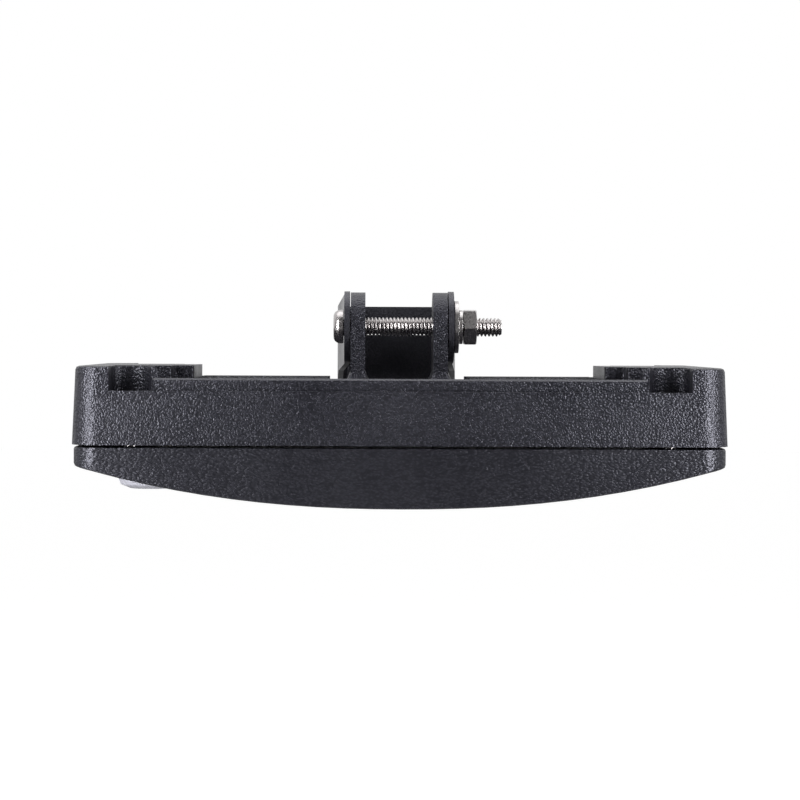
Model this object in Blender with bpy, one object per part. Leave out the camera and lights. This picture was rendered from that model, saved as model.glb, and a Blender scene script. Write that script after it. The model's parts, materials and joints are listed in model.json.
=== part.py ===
"""A linear floodlight on a strap bracket.

The lamp head is a cast back with cooling fins and two ears, closed by a cast
front frame whose long cheeks are crowned round a recessed glass window. A bent
steel strap carries the head on a pivot bolt through the ears, and the head
tilts about that bolt.

Metres, +Z towards the back of the head and +X along it. The origin is the
centre of the strap's mounting face. The head's own sizes are measured from the
centre of its parting plane, where the back meets the front frame.
"""

import math

import bmesh
import bpy
from mathutils import Matrix, Vector

# Fits shared by all pieces
SEAT = 0.0003
OVERRUN = 0.002

# Lamp head, outside
HEAD_LENGTH = 0.212
HEAD_DEPTH = 0.110
HEAD_CORNER = 0.009
HALF_LENGTH = HEAD_LENGTH / 2
HALF_DEPTH = HEAD_DEPTH / 2
DRAFT_SHARE = 0.045
EDGE_ROUND = 0.0012

# Cast back
WALL_TOP = 0.0174
BLOCK_TOP = 0.0253
POST_WIDTH = 0.0125
POST_X = HALF_LENGTH - POST_WIDTH
TONGUE_FROM_END = 0.031
TONGUE_FROM_SIDE = 0.025
TONGUE_X = HALF_LENGTH - TONGUE_FROM_END
TONGUE_Y = HALF_DEPTH - TONGUE_FROM_SIDE
INNER_TONGUE_STEP = 0.0104
INNER_TONGUE_SHOULDER = 0.008
INNER_TONGUE_X = TONGUE_X - INNER_TONGUE_STEP
INNER_TONGUE_Y = TONGUE_Y - INNER_TONGUE_SHOULDER
BLOCK_CORNER = 0.0012
RIM_TOP = 0.0215
FAR_RIM_TOP = 0.0209
RIM_FROM_END = 0.0267
RIM_END_X = HALF_LENGTH - RIM_FROM_END
RIM_SETBACK = 0.0015
RIM_THICK = 0.0028
RIM_LEAN = 0.0006
RIM_GAP_X = 0.038
FIN_TOP = 0.0211
FIN_THICK = 0.0022
FIN_LEAN = 0.0005
FIN_PITCH = 0.0088
FIN_ROWS = 2 * int((HALF_DEPTH - RIM_SETBACK - RIM_THICK) / FIN_PITCH) + 1
FIN_INNER_X = 0.024
FIN_FROM_END = 0.037
FIN_OUTER_X = HALF_LENGTH - FIN_FROM_END

# Cavity inside the back
CEILING = 0.0144
CAVITY_WALL = 0.0055
CAVITY_SHOULDER = 0.0235
CAVITY_END_SHOULDER = 0.0155
CAVITY_END_X = HALF_LENGTH - CAVITY_WALL
CAVITY_Y = HALF_DEPTH - CAVITY_WALL
CAVITY_X = CAVITY_END_X - CAVITY_SHOULDER
CAVITY_END_Y = CAVITY_Y - CAVITY_END_SHOULDER
CAVITY_CORNER = 0.004

# Screw wells at the four corners
WELL_FROM_END = 0.019
WELL_FROM_SIDE = 0.009
WELL_X = HALF_LENGTH - WELL_FROM_END
WELL_Y = HALF_DEPTH - WELL_FROM_SIDE
WELL_RADIUS = 0.0066
WELL_WALL = 0.002
WELL_WALL_PAST = 0.0005
WELL_FLOOR = 0.0118

# Ears and pivot
PIVOT_Z = 0.0385
EAR_INNER_X = 0.01145
EAR_OUTER_X = 0.0164
EAR_RADIUS = 0.0117
EAR_FOOT_TOP = 0.0238
EAR_FOOT_SPREAD = 0.0014
HUB_TOP = 0.0202
HUB_MARGIN = 0.0026

# Strap bracket, measured from the pivot
STRAP_REACH = 0.072
STRAP_WIDTH = 0.026
STRAP_THICK = 0.0019
STRAP_TILT = math.radians(3.5)
STRAP_HALF_WIDTH = 0.0218
STRAP_STRAIGHT = 0.0098
STRAP_BEND = 0.0035
STRAP_KINK_ROUND = 0.010
SLOT_X = 0.0087
SLOT_RISE = 0.0043
SLOT_LENGTH = 0.0086
SLOT_WIDTH = 0.0052
SLOT_ROUND_SHARE = 0.48

# Pivot hardware
BOLT_RADIUS = 0.003175
BOLT_TAIL_X = 0.035
BOLT_HEAD_RADIUS = 0.00575
BOLT_HEAD_HEIGHT = 0.0034
WASHER_RADIUS = 0.0089
WASHER_THICK = 0.0014
LOCK_RADIUS = 0.0058
LOCK_THICK = 0.0011
LOCK_GAP = math.radians(12)
NUT_ACROSS_FLATS = 0.0114
NUT_THICK = 0.0044
NUT_CHAMFER = 0.0007
NUT_TURN = math.radians(7.7)

# Front frame
FRAME_INSET = 0.0006
PARTING_GAP = 0.0006
CROWN_DEPTH = 0.0203
CROWN_DROP = 0.0140
CROWN_POWER = 2.25
FRAME_EDGE_ROUND = 0.0009
FRAME_SKIN = 0.003
WINDOW_FROM_END = 0.040
WINDOW_FROM_SIDE = 0.022
WINDOW_X = HALF_LENGTH - WINDOW_FROM_END
WINDOW_Y = HALF_DEPTH - WINDOW_FROM_SIDE
WINDOW_FLARE = 0.0045
WINDOW_CORNER = 0.005
LEDGE_WIDTH = 0.006
LEDGE_Z = -0.0062
SEAT_LIP = 0.0035

# Glass, its seal and clips
GLASS_LAP = 0.0045
GLASS_THICK = 0.004
GLASS_CORNER = 0.004
SEAL_THICK = 0.0007
SEAL_WIDTH = 0.0032
CLIP_FROM_END = 0.031
CLIP_FROM_WINDOW = 0.012
CLIP_X = WINDOW_X - CLIP_FROM_END
CLIP_Y = WINDOW_Y + CLIP_FROM_WINDOW
CLIP_WIDTH = 0.012
CLIP_THICK = 0.001
CLIP_GRIP = 0.0030
CLIP_TAIL = 0.0035
CLIP_BOSS_RADIUS = 0.0035
CLIP_SCREW_LENGTH = 0.007

# Gasket between back and frame
GROOVE_START = 0.0007
GROOVE_WIDTH = 0.0028
GROOVE_DEPTH = 0.002

# Screws
FRAME_SCREW_RADIUS = 0.0023
FRAME_SCREW_HEAD = 0.0043
FRAME_SCREW_HEAD_HEIGHT = 0.0042
FRAME_SCREW_LENGTH = 0.018
SMALL_SCREW_RADIUS = 0.0013
SMALL_SCREW_HEAD = 0.0027
SMALL_SCREW_HEAD_HEIGHT = 0.0019
POINT_SHARE = 0.25
HEAD_ROUND_SHARE = 0.45
DRIVE_SHARE = 0.9
DRIVE_DEPTH_SHARE = 0.55

# Light engine
PAD_THICK = 0.0006
BOARD_THICK = 0.0016
LED_SIDE = 0.0050
LED_HEIGHT = 0.0008
LED_DOME_RADIUS = 0.0018
CELL_COLUMNS = 6
CELL_ROWS = 2
CELLS_END_INSET = 0.0024
CELLS_SIDE_INSET = 0.0010
CELL_LENGTH = 2 * (WINDOW_X - CELLS_END_INSET) / CELL_COLUMNS
CELL_DEPTH = 2 * (WINDOW_Y - CELLS_SIDE_INSET) / CELL_ROWS
BOARD_END_INSET = 0.0016
BOARD_SIDE_INSET = 0.0070
BOARD_LENGTH = CELL_COLUMNS * CELL_LENGTH - 2 * BOARD_END_INSET
BOARD_DEPTH = CELL_ROWS * CELL_DEPTH - 2 * BOARD_SIDE_INSET
CELL_WALL = 0.0012
CELL_THROAT = 0.0062
REFLECTOR_LOW = 0.0026
REFLECTOR_BACK = 0.0016
REFLECTOR_MARGIN = 0.0030
REFLECTOR_POST_RADIUS = 0.0034
REFLECTOR_POST_INSET = 0.0036

# Driver and terminal block
DRIVER_WIDTH = 0.0210
DRIVER_END_GAP = 0.0008
DRIVER_SIDE_GAP = 0.010
DRIVER_X = CAVITY_END_X - DRIVER_END_GAP - DRIVER_WIDTH / 2
DRIVER_LENGTH = 2 * (CAVITY_END_Y - DRIVER_SIDE_GAP)
DRIVER_LOW = 0.0020
DRIVER_EDGE = 0.0012
DRIVER_TAB_LENGTH = 0.0060
DRIVER_TAB_WIDTH = 0.0120
DRIVER_TAB_THICK = 0.0015
DRIVER_SCREW_LENGTH = 0.006
TERMINAL_WIDTH = 0.012
TERMINAL_END_GAP = 0.002
TERMINAL_X = TERMINAL_WIDTH / 2 + TERMINAL_END_GAP - CAVITY_END_X
TERMINAL_LENGTH = 0.030
TERMINAL_HEIGHT = 0.0095
TERMINAL_POLES = 3
TERMINAL_ENTRY = 0.0036
TERMINAL_ENTRY_DEPTH = 0.005

# Cable gland and pressure vent in the rear long wall
GLAND_X = 0.050
FITTING_Z = 0.0072
FITTING_BOSS_RADIUS = 0.007
FITTING_BOSS_RISE = 0.0006
FITTING_BOSS_FACE = HALF_DEPTH + FITTING_BOSS_RISE
GLAND_THREAD_RADIUS = 0.005
GLAND_BORE_RADIUS = 0.0032
GLAND_FLATS = 0.0136
GLAND_HEX_LENGTH = 0.0036
GLAND_NECK_RADIUS = 0.0054
GLAND_NECK_LENGTH = 0.0065
GLAND_CAP_RADIUS = 0.0068
GLAND_CAP_END = 0.0016
GLAND_CAP_ROUND = 0.0014
GLAND_INSIDE = 0.0046
GLAND_SEAL_RADIUS = 0.0043
GLAND_SEAL_BORE = 0.00305
GLAND_SEAL_LENGTH = 0.0055
LOCKNUT_FLATS = 0.0126
LOCKNUT_LENGTH = 0.003
VENT_X = -0.050
VENT_THREAD_RADIUS = 0.0048
VENT_CAP_RADIUS = 0.0068
VENT_CAP_LENGTH = 0.0038
VENT_CAP_ROUND = 0.0009
VENT_SLOT_WIDTH = 0.0012
VENT_SLOTS = 6

# Dusk sensor on the front frame
SENSOR_FROM_END = 0.022
SENSOR_X = SENSOR_FROM_END - HALF_LENGTH
SENSOR_RADIUS = 0.012
SENSOR_LOW = -0.0167
SENSOR_SEAT = -0.0085
SENSOR_EDGE_ROUND = 0.0045
SENSOR_WALL = 0.0016
SENSOR_BOSS_WALL = 0.0030
SENSOR_BOSS_TOP = -0.0050
SENSOR_NECK_RADIUS = 0.0037
SENSOR_FLANGE_RADIUS = 0.0098
SENSOR_FLANGE_THICK = 0.0018
SENSOR_CELL_RADIUS = 0.0040
SENSOR_CELL_HEIGHT = 0.0032
SENSOR_NECK_TOP = 0.0016
SENSOR_NUT_FLATS = 0.0120
SENSOR_NUT_THICK = 0.0028

# Facets
CORNER_STEPS = 5
SMALL_STEPS = 2
ROUND_STEPS = 28
WALL_STEPS = 13
HOLE_STEPS = 16
SCREW_STEPS = 12
CROWN_STEPS = 24


def finish(name, colour, roughness, metallic):
    """A plain finish with the piece's colour, roughness and metallic value."""
    made = bpy.data.materials.new(name)
    made.use_nodes = True
    shader = made.node_tree.nodes["Principled BSDF"]
    shader.inputs["Base Color"].default_value = (*colour, 1.0)
    shader.inputs["Roughness"].default_value = roughness
    shader.inputs["Metallic"].default_value = metallic
    return made


def made_object(name, mesh, place=(0, 0, 0), parent=None, coat=None, turn=(0, 0, 0)):
    """A named object from a bmesh, with its normals facing out."""
    bmesh.ops.recalc_face_normals(mesh, faces=mesh.faces)
    data = bpy.data.meshes.new(name)
    mesh.to_mesh(data)
    mesh.free()
    made = bpy.data.objects.new(name, data)
    bpy.context.scene.collection.objects.link(made)
    made.location = place
    made.rotation_euler = turn
    made.parent = parent
    if parent and parent.type == "EMPTY":
        made.matrix_parent_inverse = Matrix.Translation(parent["measured_from"])
    if coat:
        data.materials.append(coat)
    return made


def empty(name, place, turn=(0, 0, 0), measured_from=(0, 0, 0)):
    """An empty on the tilt axis. Its pieces are placed from a point beside the axis."""
    made = bpy.data.objects.new(name, None)
    bpy.context.scene.collection.objects.link(made)
    made.location = place
    made.rotation_euler = turn
    made["measured_from"] = measured_from
    return made


def boolean(target, tool, operation):
    """Joins, cuts or intersects the target with a tool, which stays out of the build."""
    step = target.modifiers.new(tool.name, "BOOLEAN")
    step.operation = operation
    step.object = tool
    tool.hide_render = True
    tool.display_type = "WIRE"


def join(target, *tools):
    for tool in tools:
        boolean(target, tool, "UNION")


def cut(target, *tools):
    for tool in tools:
        boolean(target, tool, "DIFFERENCE")


def keep_inside(target, tool):
    boolean(target, tool, "INTERSECT")


def smooth(made, angle=math.radians(35)):
    made.data.shade_smooth()
    made.data.set_sharp_from_angle(angle=angle)
    return made


def rounded(corners, steps=CORNER_STEPS):
    """An outline whose corners, each (x, y, radius), are replaced by arcs."""
    points = []
    for i, (x, y, radius) in enumerate(corners):
        here = Vector((x, y))
        if not radius:
            points.append(here)
            continue
        before = (Vector(corners[i - 1][:2]) - here).normalized()
        after = (Vector(corners[(i + 1) % len(corners)][:2]) - here).normalized()
        half_angle = before.angle(after) / 2
        middle = here + (before + after).normalized() * (radius / math.sin(half_angle))
        start = here + before * (radius / math.tan(half_angle)) - middle
        end = here + after * (radius / math.tan(half_angle)) - middle
        first = math.atan2(start.y, start.x)
        sweep = (math.atan2(end.y, end.x) - first + math.pi) % math.tau - math.pi
        for k in range(steps + 1):
            angle = first + sweep * k / steps
            points.append(middle + Vector((math.cos(angle), math.sin(angle))) * radius)
    return points


def rectangle(half_x, half_y, radius=0, steps=CORNER_STEPS):
    signs = ((1, 1), (-1, 1), (-1, -1), (1, -1))
    return rounded([(sx * half_x, sy * half_y, radius) for sx, sy in signs], steps)


def box_outline(low_x, low_y, high_x, high_y, radius=0, steps=SMALL_STEPS):
    corners = ((high_x, high_y), (low_x, high_y), (low_x, low_y), (high_x, low_y))
    return rounded([(x, y, radius) for x, y in corners], steps)


def circle(radius, steps=HOLE_STEPS, turn=0):
    angles = [turn + math.tau * k / steps for k in range(steps)]
    return [Vector((radius * math.cos(a), radius * math.sin(a))) for a in angles]


def hexagon(across_flats, turn=0):
    return circle(across_flats / math.sqrt(3), 6, turn)


def lofted(rings, along="Z"):
    """A closed solid through rings of (height, outline), stacked along an axis."""
    mesh = bmesh.new()
    place = {
        "X": lambda p, h: (h, p.x, p.y),
        "Y": lambda p, h: (p.x, h, p.y),
        "Z": lambda p, h: (p.x, p.y, h),
    }[along]
    loops = [[mesh.verts.new(place(p, height)) for p in outline] for height, outline in rings]
    for low, high in zip(loops, loops[1:]):
        for i, corner in enumerate(low):
            j = (i + 1) % len(low)
            mesh.faces.new((corner, low[j], high[j], high[i]))
    mesh.faces.new(loops[0][::-1])
    mesh.faces.new(loops[-1])
    return mesh


def prism(outline, low, high, along="Z"):
    return lofted([(low, outline), (high, outline)], along)


def ring(outer, inner, low, high):
    """A flat ring between two outlines that have as many points each."""
    mesh = bmesh.new()
    loops = []
    for outline, height in ((outer, low), (outer, high), (inner, high), (inner, low)):
        loops.append([mesh.verts.new((p.x, p.y, height)) for p in outline])
    for one, other in zip(loops, loops[1:] + loops[:1]):
        for i, corner in enumerate(one):
            j = (i + 1) % len(one)
            mesh.faces.new((corner, one[j], other[j], other[i]))
    return mesh


def gathered(solids):
    """One mesh that holds several solids clear of each other, each (mesh, place)."""
    whole = bmesh.new()
    for mesh, place in solids:
        bmesh.ops.translate(mesh, vec=place, verts=mesh.verts)
        data = bpy.data.meshes.new("solid")
        mesh.to_mesh(data)
        mesh.free()
        whole.from_mesh(data)
        bpy.data.meshes.remove(data)
    return whole


def turned(profile, steps=ROUND_STEPS, along="Z"):
    """A solid of revolution from (radius, height) points. Radius 0 closes on the axis."""
    mesh = bmesh.new()
    place = {
        "X": lambda c, s, h: (h, c, s),
        "Y": lambda c, s, h: (s, h, c),
        "Z": lambda c, s, h: (c, s, h),
    }[along]
    loops = []
    for radius, height in profile:
        if radius:
            spots = [(radius * p.x, radius * p.y) for p in circle(1, steps)]
            loops.append([mesh.verts.new(place(c, s, height)) for c, s in spots])
        else:
            loops.append([mesh.verts.new(place(0, 0, height))])
    closing = [] if len(loops[0]) == 1 else [(loops[-1], loops[0])]
    for one, other in list(zip(loops, loops[1:])) + closing:
        for i in range(steps):
            j = (i + 1) % steps
            corners = [one[i % len(one)], one[j % len(one)]]
            corners += [other[j % len(other)], other[i % len(other)]]
            corners = list(dict.fromkeys(corners))
            if len(corners) > 2:
                mesh.faces.new(corners)
    return mesh


def quarter_round(radius_out, height_out, size, steps=SMALL_STEPS):
    """Points of a rounded outer edge, from the side to the end at height_out."""
    up = math.copysign(size, height_out)
    points = []
    for k in range(steps + 1):
        angle = math.pi / 2 * k / steps
        points.append(
            (
                radius_out - size + size * math.cos(angle),
                height_out - up + up * math.sin(angle),
            )
        )
    return points


def four_corners(half_x, half_y):
    return [(sx * half_x, sy * half_y) for sx in (-1, 1) for sy in (-1, 1)]


def crown_height(x):
    """How low the front frame reaches at this place along the head."""
    share = min(1.0, abs(x) / (HALF_LENGTH))
    return -CROWN_DEPTH + CROWN_DROP * share**CROWN_POWER


def crown_outline(half_length, top, lift):
    """The frame seen from its long side, with its underside lifted by a wall."""
    points = [Vector((half_length, top)), Vector((-half_length, top))]
    for k in range(CROWN_STEPS + 1):
        x = half_length * (2 * k / CROWN_STEPS - 1)
        points.append(Vector((x, crown_height(x) + lift)))
    return points


def cavity_outline(grow):
    """The cavity is wide between the screw wells and narrow beyond them."""
    wide = CAVITY_X + grow
    end = CAVITY_END_X + grow
    deep = CAVITY_Y + grow
    narrow = CAVITY_END_Y + grow
    quarter = [(end, narrow), (wide, narrow), (wide, deep)]
    corners = quarter
    corners = corners + [(-x, y) for x, y in reversed(quarter)]
    corners = corners + [(x, -y) for x, y in reversed(corners)]
    inner = CAVITY_CORNER - grow
    outer = CAVITY_CORNER + grow
    radii = {(wide, narrow): inner}
    return rounded([(x, y, radii.get((abs(x), abs(y)), outer)) for x, y in corners])


def head_outline(height):
    """The head's outline, which its draft draws in towards the back."""
    shrink = DRAFT_SHARE * height
    return rectangle(HALF_LENGTH - shrink, HALF_DEPTH - shrink, HEAD_CORNER - shrink)


def head_block():
    """The head's full height, with a rounded edge at the back."""
    rings = [(0, head_outline(0))]
    for k in range(SMALL_STEPS + 1):
        angle = math.pi / 2 * k / SMALL_STEPS
        height = BLOCK_TOP - EDGE_ROUND + EDGE_ROUND * math.sin(angle)
        draw_in = DRAFT_SHARE * height + EDGE_ROUND * (1 - math.cos(angle))
        half_x = HALF_LENGTH - draw_in
        half_y = HALF_DEPTH - draw_in
        rings.append((height, rectangle(half_x, half_y, HEAD_CORNER - draw_in)))
    return lofted(rings)


def back_recess_outline():
    """What is taken away between the end blocks, down to the wall's top."""
    beyond = HALF_DEPTH + OVERRUN
    half = [
        (INNER_TONGUE_X, INNER_TONGUE_Y, BLOCK_CORNER),
        (TONGUE_X, INNER_TONGUE_Y, BLOCK_CORNER),
        (TONGUE_X, TONGUE_Y, BLOCK_CORNER),
        (POST_X, TONGUE_Y, BLOCK_CORNER),
        (POST_X, beyond, 0),
    ]
    left = [(-x, y, radius) for x, y, radius in reversed(half)]
    near = [(x, -y, radius) for x, y, radius in reversed(half + left)]
    return rounded(half + left + near, SMALL_STEPS)


def well_wall(side):
    """The wall round a screw well, open towards the nearer long side."""
    outer = WELL_RADIUS + WELL_WALL

    def half_round(radius):
        angles = [-math.pi * k / WALL_STEPS for k in range(WALL_STEPS + 1)]
        arc = [Vector((radius * math.cos(a), side * radius * math.sin(a))) for a in angles]
        past = side * WELL_WALL_PAST
        return [Vector((radius, past))] + arc + [Vector((-radius, past))]

    return lofted(
        [
            (WALL_TOP - OVERRUN, half_round(outer)),
            (BLOCK_TOP - EDGE_ROUND, half_round(outer)),
            (BLOCK_TOP - SEAT, half_round(outer - EDGE_ROUND / 2)),
        ]
    )


def well():
    """A screw well from the back, with the screw's hole through its floor."""
    return turned(
        (
            (0, -OVERRUN),
            (FRAME_SCREW_RADIUS + SEAT, -OVERRUN),
            (FRAME_SCREW_RADIUS + SEAT, WELL_FLOOR),
            (WELL_RADIUS, WELL_FLOOR),
            (WELL_RADIUS, BLOCK_TOP + OVERRUN),
            (0, BLOCK_TOP + OVERRUN),
        )
    )


def rim(low_x, high_x, side, top):
    """A low rim that stands back from the long wall's edge and leans a little."""
    outer = HALF_DEPTH - DRAFT_SHARE * WALL_TOP - RIM_SETBACK
    inner = outer - RIM_THICK
    section = [
        Vector((side * outer, WALL_TOP - OVERRUN)),
        Vector((side * (outer - RIM_LEAN / 2), top - RIM_LEAN)),
        Vector((side * (outer - RIM_LEAN * 2), top)),
        Vector((side * (inner + RIM_LEAN), top)),
        Vector((side * inner, WALL_TOP - OVERRUN)),
    ]
    return prism(section, low_x, high_x, "X")


def fin(side):
    """A cooling fin along the head, thinner at its top."""
    half = FIN_THICK / 2
    section = [
        Vector((-half, WALL_TOP - OVERRUN)),
        Vector((half, WALL_TOP - OVERRUN)),
        Vector((half - FIN_LEAN, FIN_TOP)),
        Vector((FIN_LEAN - half, FIN_TOP)),
    ]
    low, high = sorted((side * FIN_INNER_X, side * FIN_OUTER_X))
    return prism(section, low, high, "X")


def ear(side):
    """One ear, with its top round over the pivot."""
    outline = [Vector((EAR_RADIUS, WALL_TOP - OVERRUN)), Vector((EAR_RADIUS, PIVOT_Z))]
    for k in range(1, ROUND_STEPS // 2):
        angle = math.tau * k / ROUND_STEPS
        height = PIVOT_Z + EAR_RADIUS * math.sin(angle)
        outline.append(Vector((EAR_RADIUS * math.cos(angle), height)))
    outline.append(Vector((-EAR_RADIUS, PIVOT_Z)))
    outline.append(Vector((-EAR_RADIUS, WALL_TOP - OVERRUN)))
    low, high = sorted((side * EAR_INNER_X, side * EAR_OUTER_X))
    return prism(outline, low, high, "X")


def ear_foot():
    """The foot that spreads from an ear into the back."""
    half = (EAR_OUTER_X - EAR_INNER_X) / 2
    rings = []
    for height, spread in (
        (WALL_TOP - OVERRUN * 3 / 4, EAR_FOOT_SPREAD * 2),
        (HUB_TOP + SEAT, EAR_FOOT_SPREAD),
        (EAR_FOOT_TOP, 0),
    ):
        grow = spread - SEAT / 2
        rings.append((height, rectangle(half + grow, EAR_RADIUS + grow, EAR_FOOT_SPREAD)))
    return lofted(rings)


def back_ribs():
    """What stands on the back: well walls, rims, fins, the ears' pad and the fittings' bosses."""
    solids = []
    for x, y in four_corners(WELL_X, WELL_Y):
        solids.append((well_wall(math.copysign(1, y)), (x, y, 0)))
    solids.append((rim(-RIM_END_X, RIM_END_X, -1, RIM_TOP), (0, 0, 0)))
    solids.append((rim(-RIM_END_X, -RIM_GAP_X, 1, FAR_RIM_TOP), (0, 0, 0)))
    solids.append((rim(RIM_GAP_X, RIM_END_X, 1, FAR_RIM_TOP), (0, 0, 0)))
    for row in range(FIN_ROWS):
        y = FIN_PITCH * (row - (FIN_ROWS - 1) / 2)
        for side in (-1, 1):
            solids.append((fin(side), (0, y, 0)))
    hub = rectangle(EAR_OUTER_X + HUB_MARGIN, EAR_RADIUS + HUB_MARGIN, HUB_MARGIN)
    solids.append((prism(hub, WALL_TOP - OVERRUN, HUB_TOP), (0, 0, 0)))
    low = (CAVITY_Y + HALF_DEPTH) / 2
    for x in (GLAND_X, VENT_X):
        boss = prism(circle(FITTING_BOSS_RADIUS, ROUND_STEPS), low, FITTING_BOSS_FACE, "Y")
        solids.append((boss, (x, 0, FITTING_Z)))
    return gathered(solids)


def back_holes():
    """The wells, the pivot's bore and every screw hole and fitting hole."""
    solids = [(well(), (x, y, 0)) for x, y in four_corners(WELL_X, WELL_Y)]
    reach = EAR_OUTER_X + HUB_MARGIN
    bore = prism(circle(BOLT_RADIUS + SEAT, ROUND_STEPS), -reach, reach, "X")
    solids.append((bore, (0, 0, PIVOT_Z)))
    thread = circle(SMALL_SCREW_RADIUS + SEAT, SCREW_STEPS)
    for x, y in reflector_posts():
        solids.append((prism(thread, CEILING - OVERRUN, screw_hole_top()), (x, y, 0)))
    for side in (-1, 1):
        hole = prism(thread, CEILING - OVERRUN, CEILING + DRIVER_SCREW_LENGTH)
        solids.append((hole, (DRIVER_X, side * driver_screw_y(), 0)))
    low, high = CAVITY_Y - OVERRUN, FITTING_BOSS_FACE + OVERRUN
    for x, radius in ((GLAND_X, GLAND_THREAD_RADIUS), (VENT_X, VENT_THREAD_RADIUS)):
        hole = prism(circle(radius + SEAT, ROUND_STEPS), low, high, "Y")
        solids.append((hole, (x, 0, FITTING_Z)))
    return gathered(solids)


def rear_housing(head, coat):
    made = made_object("rear_housing", head_block(), parent=head, coat=coat)
    recess = prism(back_recess_outline(), WALL_TOP, BLOCK_TOP + OVERRUN)
    cut(made, made_object("back_recess", recess, parent=head))
    join(made, made_object("back_ribs", back_ribs(), parent=head))
    middle = (EAR_INNER_X + EAR_OUTER_X) / 2
    feet = gathered([(ear_foot(), (side * middle, 0, 0)) for side in (-1, 1)])
    join(made, made_object("ear_feet", feet, parent=head))
    ears = gathered([(ear(side), (0, 0, 0)) for side in (-1, 1)])
    join(made, made_object("ears", ears, parent=head))
    cut(made, made_object("cavity", prism(cavity_outline(0), -OVERRUN, CEILING), parent=head))
    cut(made, made_object("back_holes", back_holes(), parent=head))
    return smooth(made)


def screw_hole_top():
    return (CEILING + WALL_TOP) / 2 + SEAT


def reflector_half_sizes():
    half_x = CELL_COLUMNS * CELL_LENGTH / 2 + REFLECTOR_MARGIN
    half_y = CELL_ROWS * CELL_DEPTH / 2 + REFLECTOR_MARGIN
    return half_x, half_y


def reflector_posts():
    half_x, half_y = reflector_half_sizes()
    return four_corners(half_x - REFLECTOR_POST_INSET, half_y - REFLECTOR_POST_INSET)


def driver_screw_y():
    return DRIVER_LENGTH / 2 + DRIVER_TAB_LENGTH / 2


def ledge_outline(grow):
    half_x = WINDOW_X + LEDGE_WIDTH + grow
    half_y = WINDOW_Y + LEDGE_WIDTH + grow
    return rectangle(half_x, half_y, GLASS_CORNER + grow)


def front_frame(head, coat):
    half_x = HALF_LENGTH - FRAME_INSET
    half_y = HALF_DEPTH - FRAME_INSET
    plan = rectangle(half_x, half_y, HEAD_CORNER - FRAME_INSET)
    body = prism(plan, -CROWN_DEPTH - OVERRUN, -PARTING_GAP)
    made = made_object("front_frame", body, parent=head, coat=coat)
    crown = crown_outline(HALF_LENGTH + OVERRUN, OVERRUN, 0)
    reach = HALF_DEPTH + OVERRUN
    keep_inside(made, made_object("crown", prism(crown, -reach, reach, "Y"), parent=head))
    edge = made.modifiers.new("edge_round", "BEVEL")
    edge.width = FRAME_EDGE_ROUND
    edge.segments = 2
    edge.limit_method = "ANGLE"
    edge.angle_limit = math.radians(50)
    hollow = made_object(
        "frame_hollow",
        prism(cavity_outline(-SEAT), -CROWN_DEPTH - OVERRUN, OVERRUN),
        parent=head,
    )
    inner = crown_outline(HALF_LENGTH + OVERRUN * 2, OVERRUN * 2, FRAME_SKIN)
    keep_inside(hollow, made_object("inner_crown", prism(inner, -reach, reach, "Y"), parent=head))
    collar = prism(ledge_outline(FRAME_SKIN), -CROWN_DEPTH - OVERRUN * 2, LEDGE_Z + SEAT_LIP)
    cut(hollow, made_object("collar", collar, parent=head))
    for i, (x, y) in enumerate(four_corners(CLIP_X, CLIP_Y)):
        boss = prism(circle(CLIP_BOSS_RADIUS), -CROWN_DEPTH - OVERRUN * 2, clip_seat())
        cut(hollow, made_object(f"clip_boss_{i + 1}", boss, (x, y, 0), head))
    boss_radius = SENSOR_RADIUS + SENSOR_BOSS_WALL
    sensor_boss = prism(circle(boss_radius, ROUND_STEPS), -CROWN_DEPTH - OVERRUN * 2, SENSOR_BOSS_TOP)
    cut(hollow, made_object("sensor_boss", sensor_boss, (SENSOR_X, 0, 0), head))
    cut(made, hollow)
    window = lofted(
        [
            (LEDGE_Z + OVERRUN, rectangle(WINDOW_X, WINDOW_Y, WINDOW_CORNER)),
            (LEDGE_Z - OVERRUN, rectangle(WINDOW_X, WINDOW_Y, WINDOW_CORNER)),
            (
                -CROWN_DEPTH - OVERRUN,
                rectangle(WINDOW_X + WINDOW_FLARE, WINDOW_Y + WINDOW_FLARE, WINDOW_CORNER),
            ),
        ]
    )
    cut(made, made_object("window", window, parent=head))
    seat = prism(ledge_outline(0), LEDGE_Z, LEDGE_Z + SEAT_LIP + OVERRUN)
    cut(made, made_object("glass_seat", seat, parent=head))
    groove = ring(
        cavity_outline(GROOVE_START + GROOVE_WIDTH),
        cavity_outline(GROOVE_START),
        -PARTING_GAP - GROOVE_DEPTH,
        OVERRUN,
    )
    cut(made, made_object("gasket_groove", groove, parent=head))
    for i, (x, y) in enumerate(four_corners(WELL_X, WELL_Y)):
        hole = prism(circle(FRAME_SCREW_RADIUS + SEAT), frame_screw_end() - SEAT, OVERRUN)
        cut(made, made_object(f"frame_screw_hole_{i + 1}", hole, (x, y, 0), head))
    for i, (x, y) in enumerate(four_corners(CLIP_X, CLIP_Y)):
        bottom = clip_seat() + CLIP_THICK + SEAT * 2 - CLIP_SCREW_LENGTH - SEAT
        hole = prism(circle(SMALL_SCREW_RADIUS + SEAT, SCREW_STEPS), bottom, clip_seat() + OVERRUN)
        cut(made, made_object(f"clip_hole_{i + 1}", hole, (x, y, 0), head))
    bore = turned(
        (
            (0, -CROWN_DEPTH - OVERRUN),
            (SENSOR_RADIUS + SEAT, -CROWN_DEPTH - OVERRUN),
            (SENSOR_RADIUS + SEAT, SENSOR_SEAT),
            (SENSOR_NECK_RADIUS + SEAT, SENSOR_SEAT),
            (SENSOR_NECK_RADIUS + SEAT, OVERRUN),
            (0, OVERRUN),
        )
    )
    cut(made, made_object("sensor_bore", bore, (SENSOR_X, 0, 0), head))
    return smooth(made)


def glass_top():
    return LEDGE_Z + SEAT + SEAL_THICK + SEAT + GLASS_THICK


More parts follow.
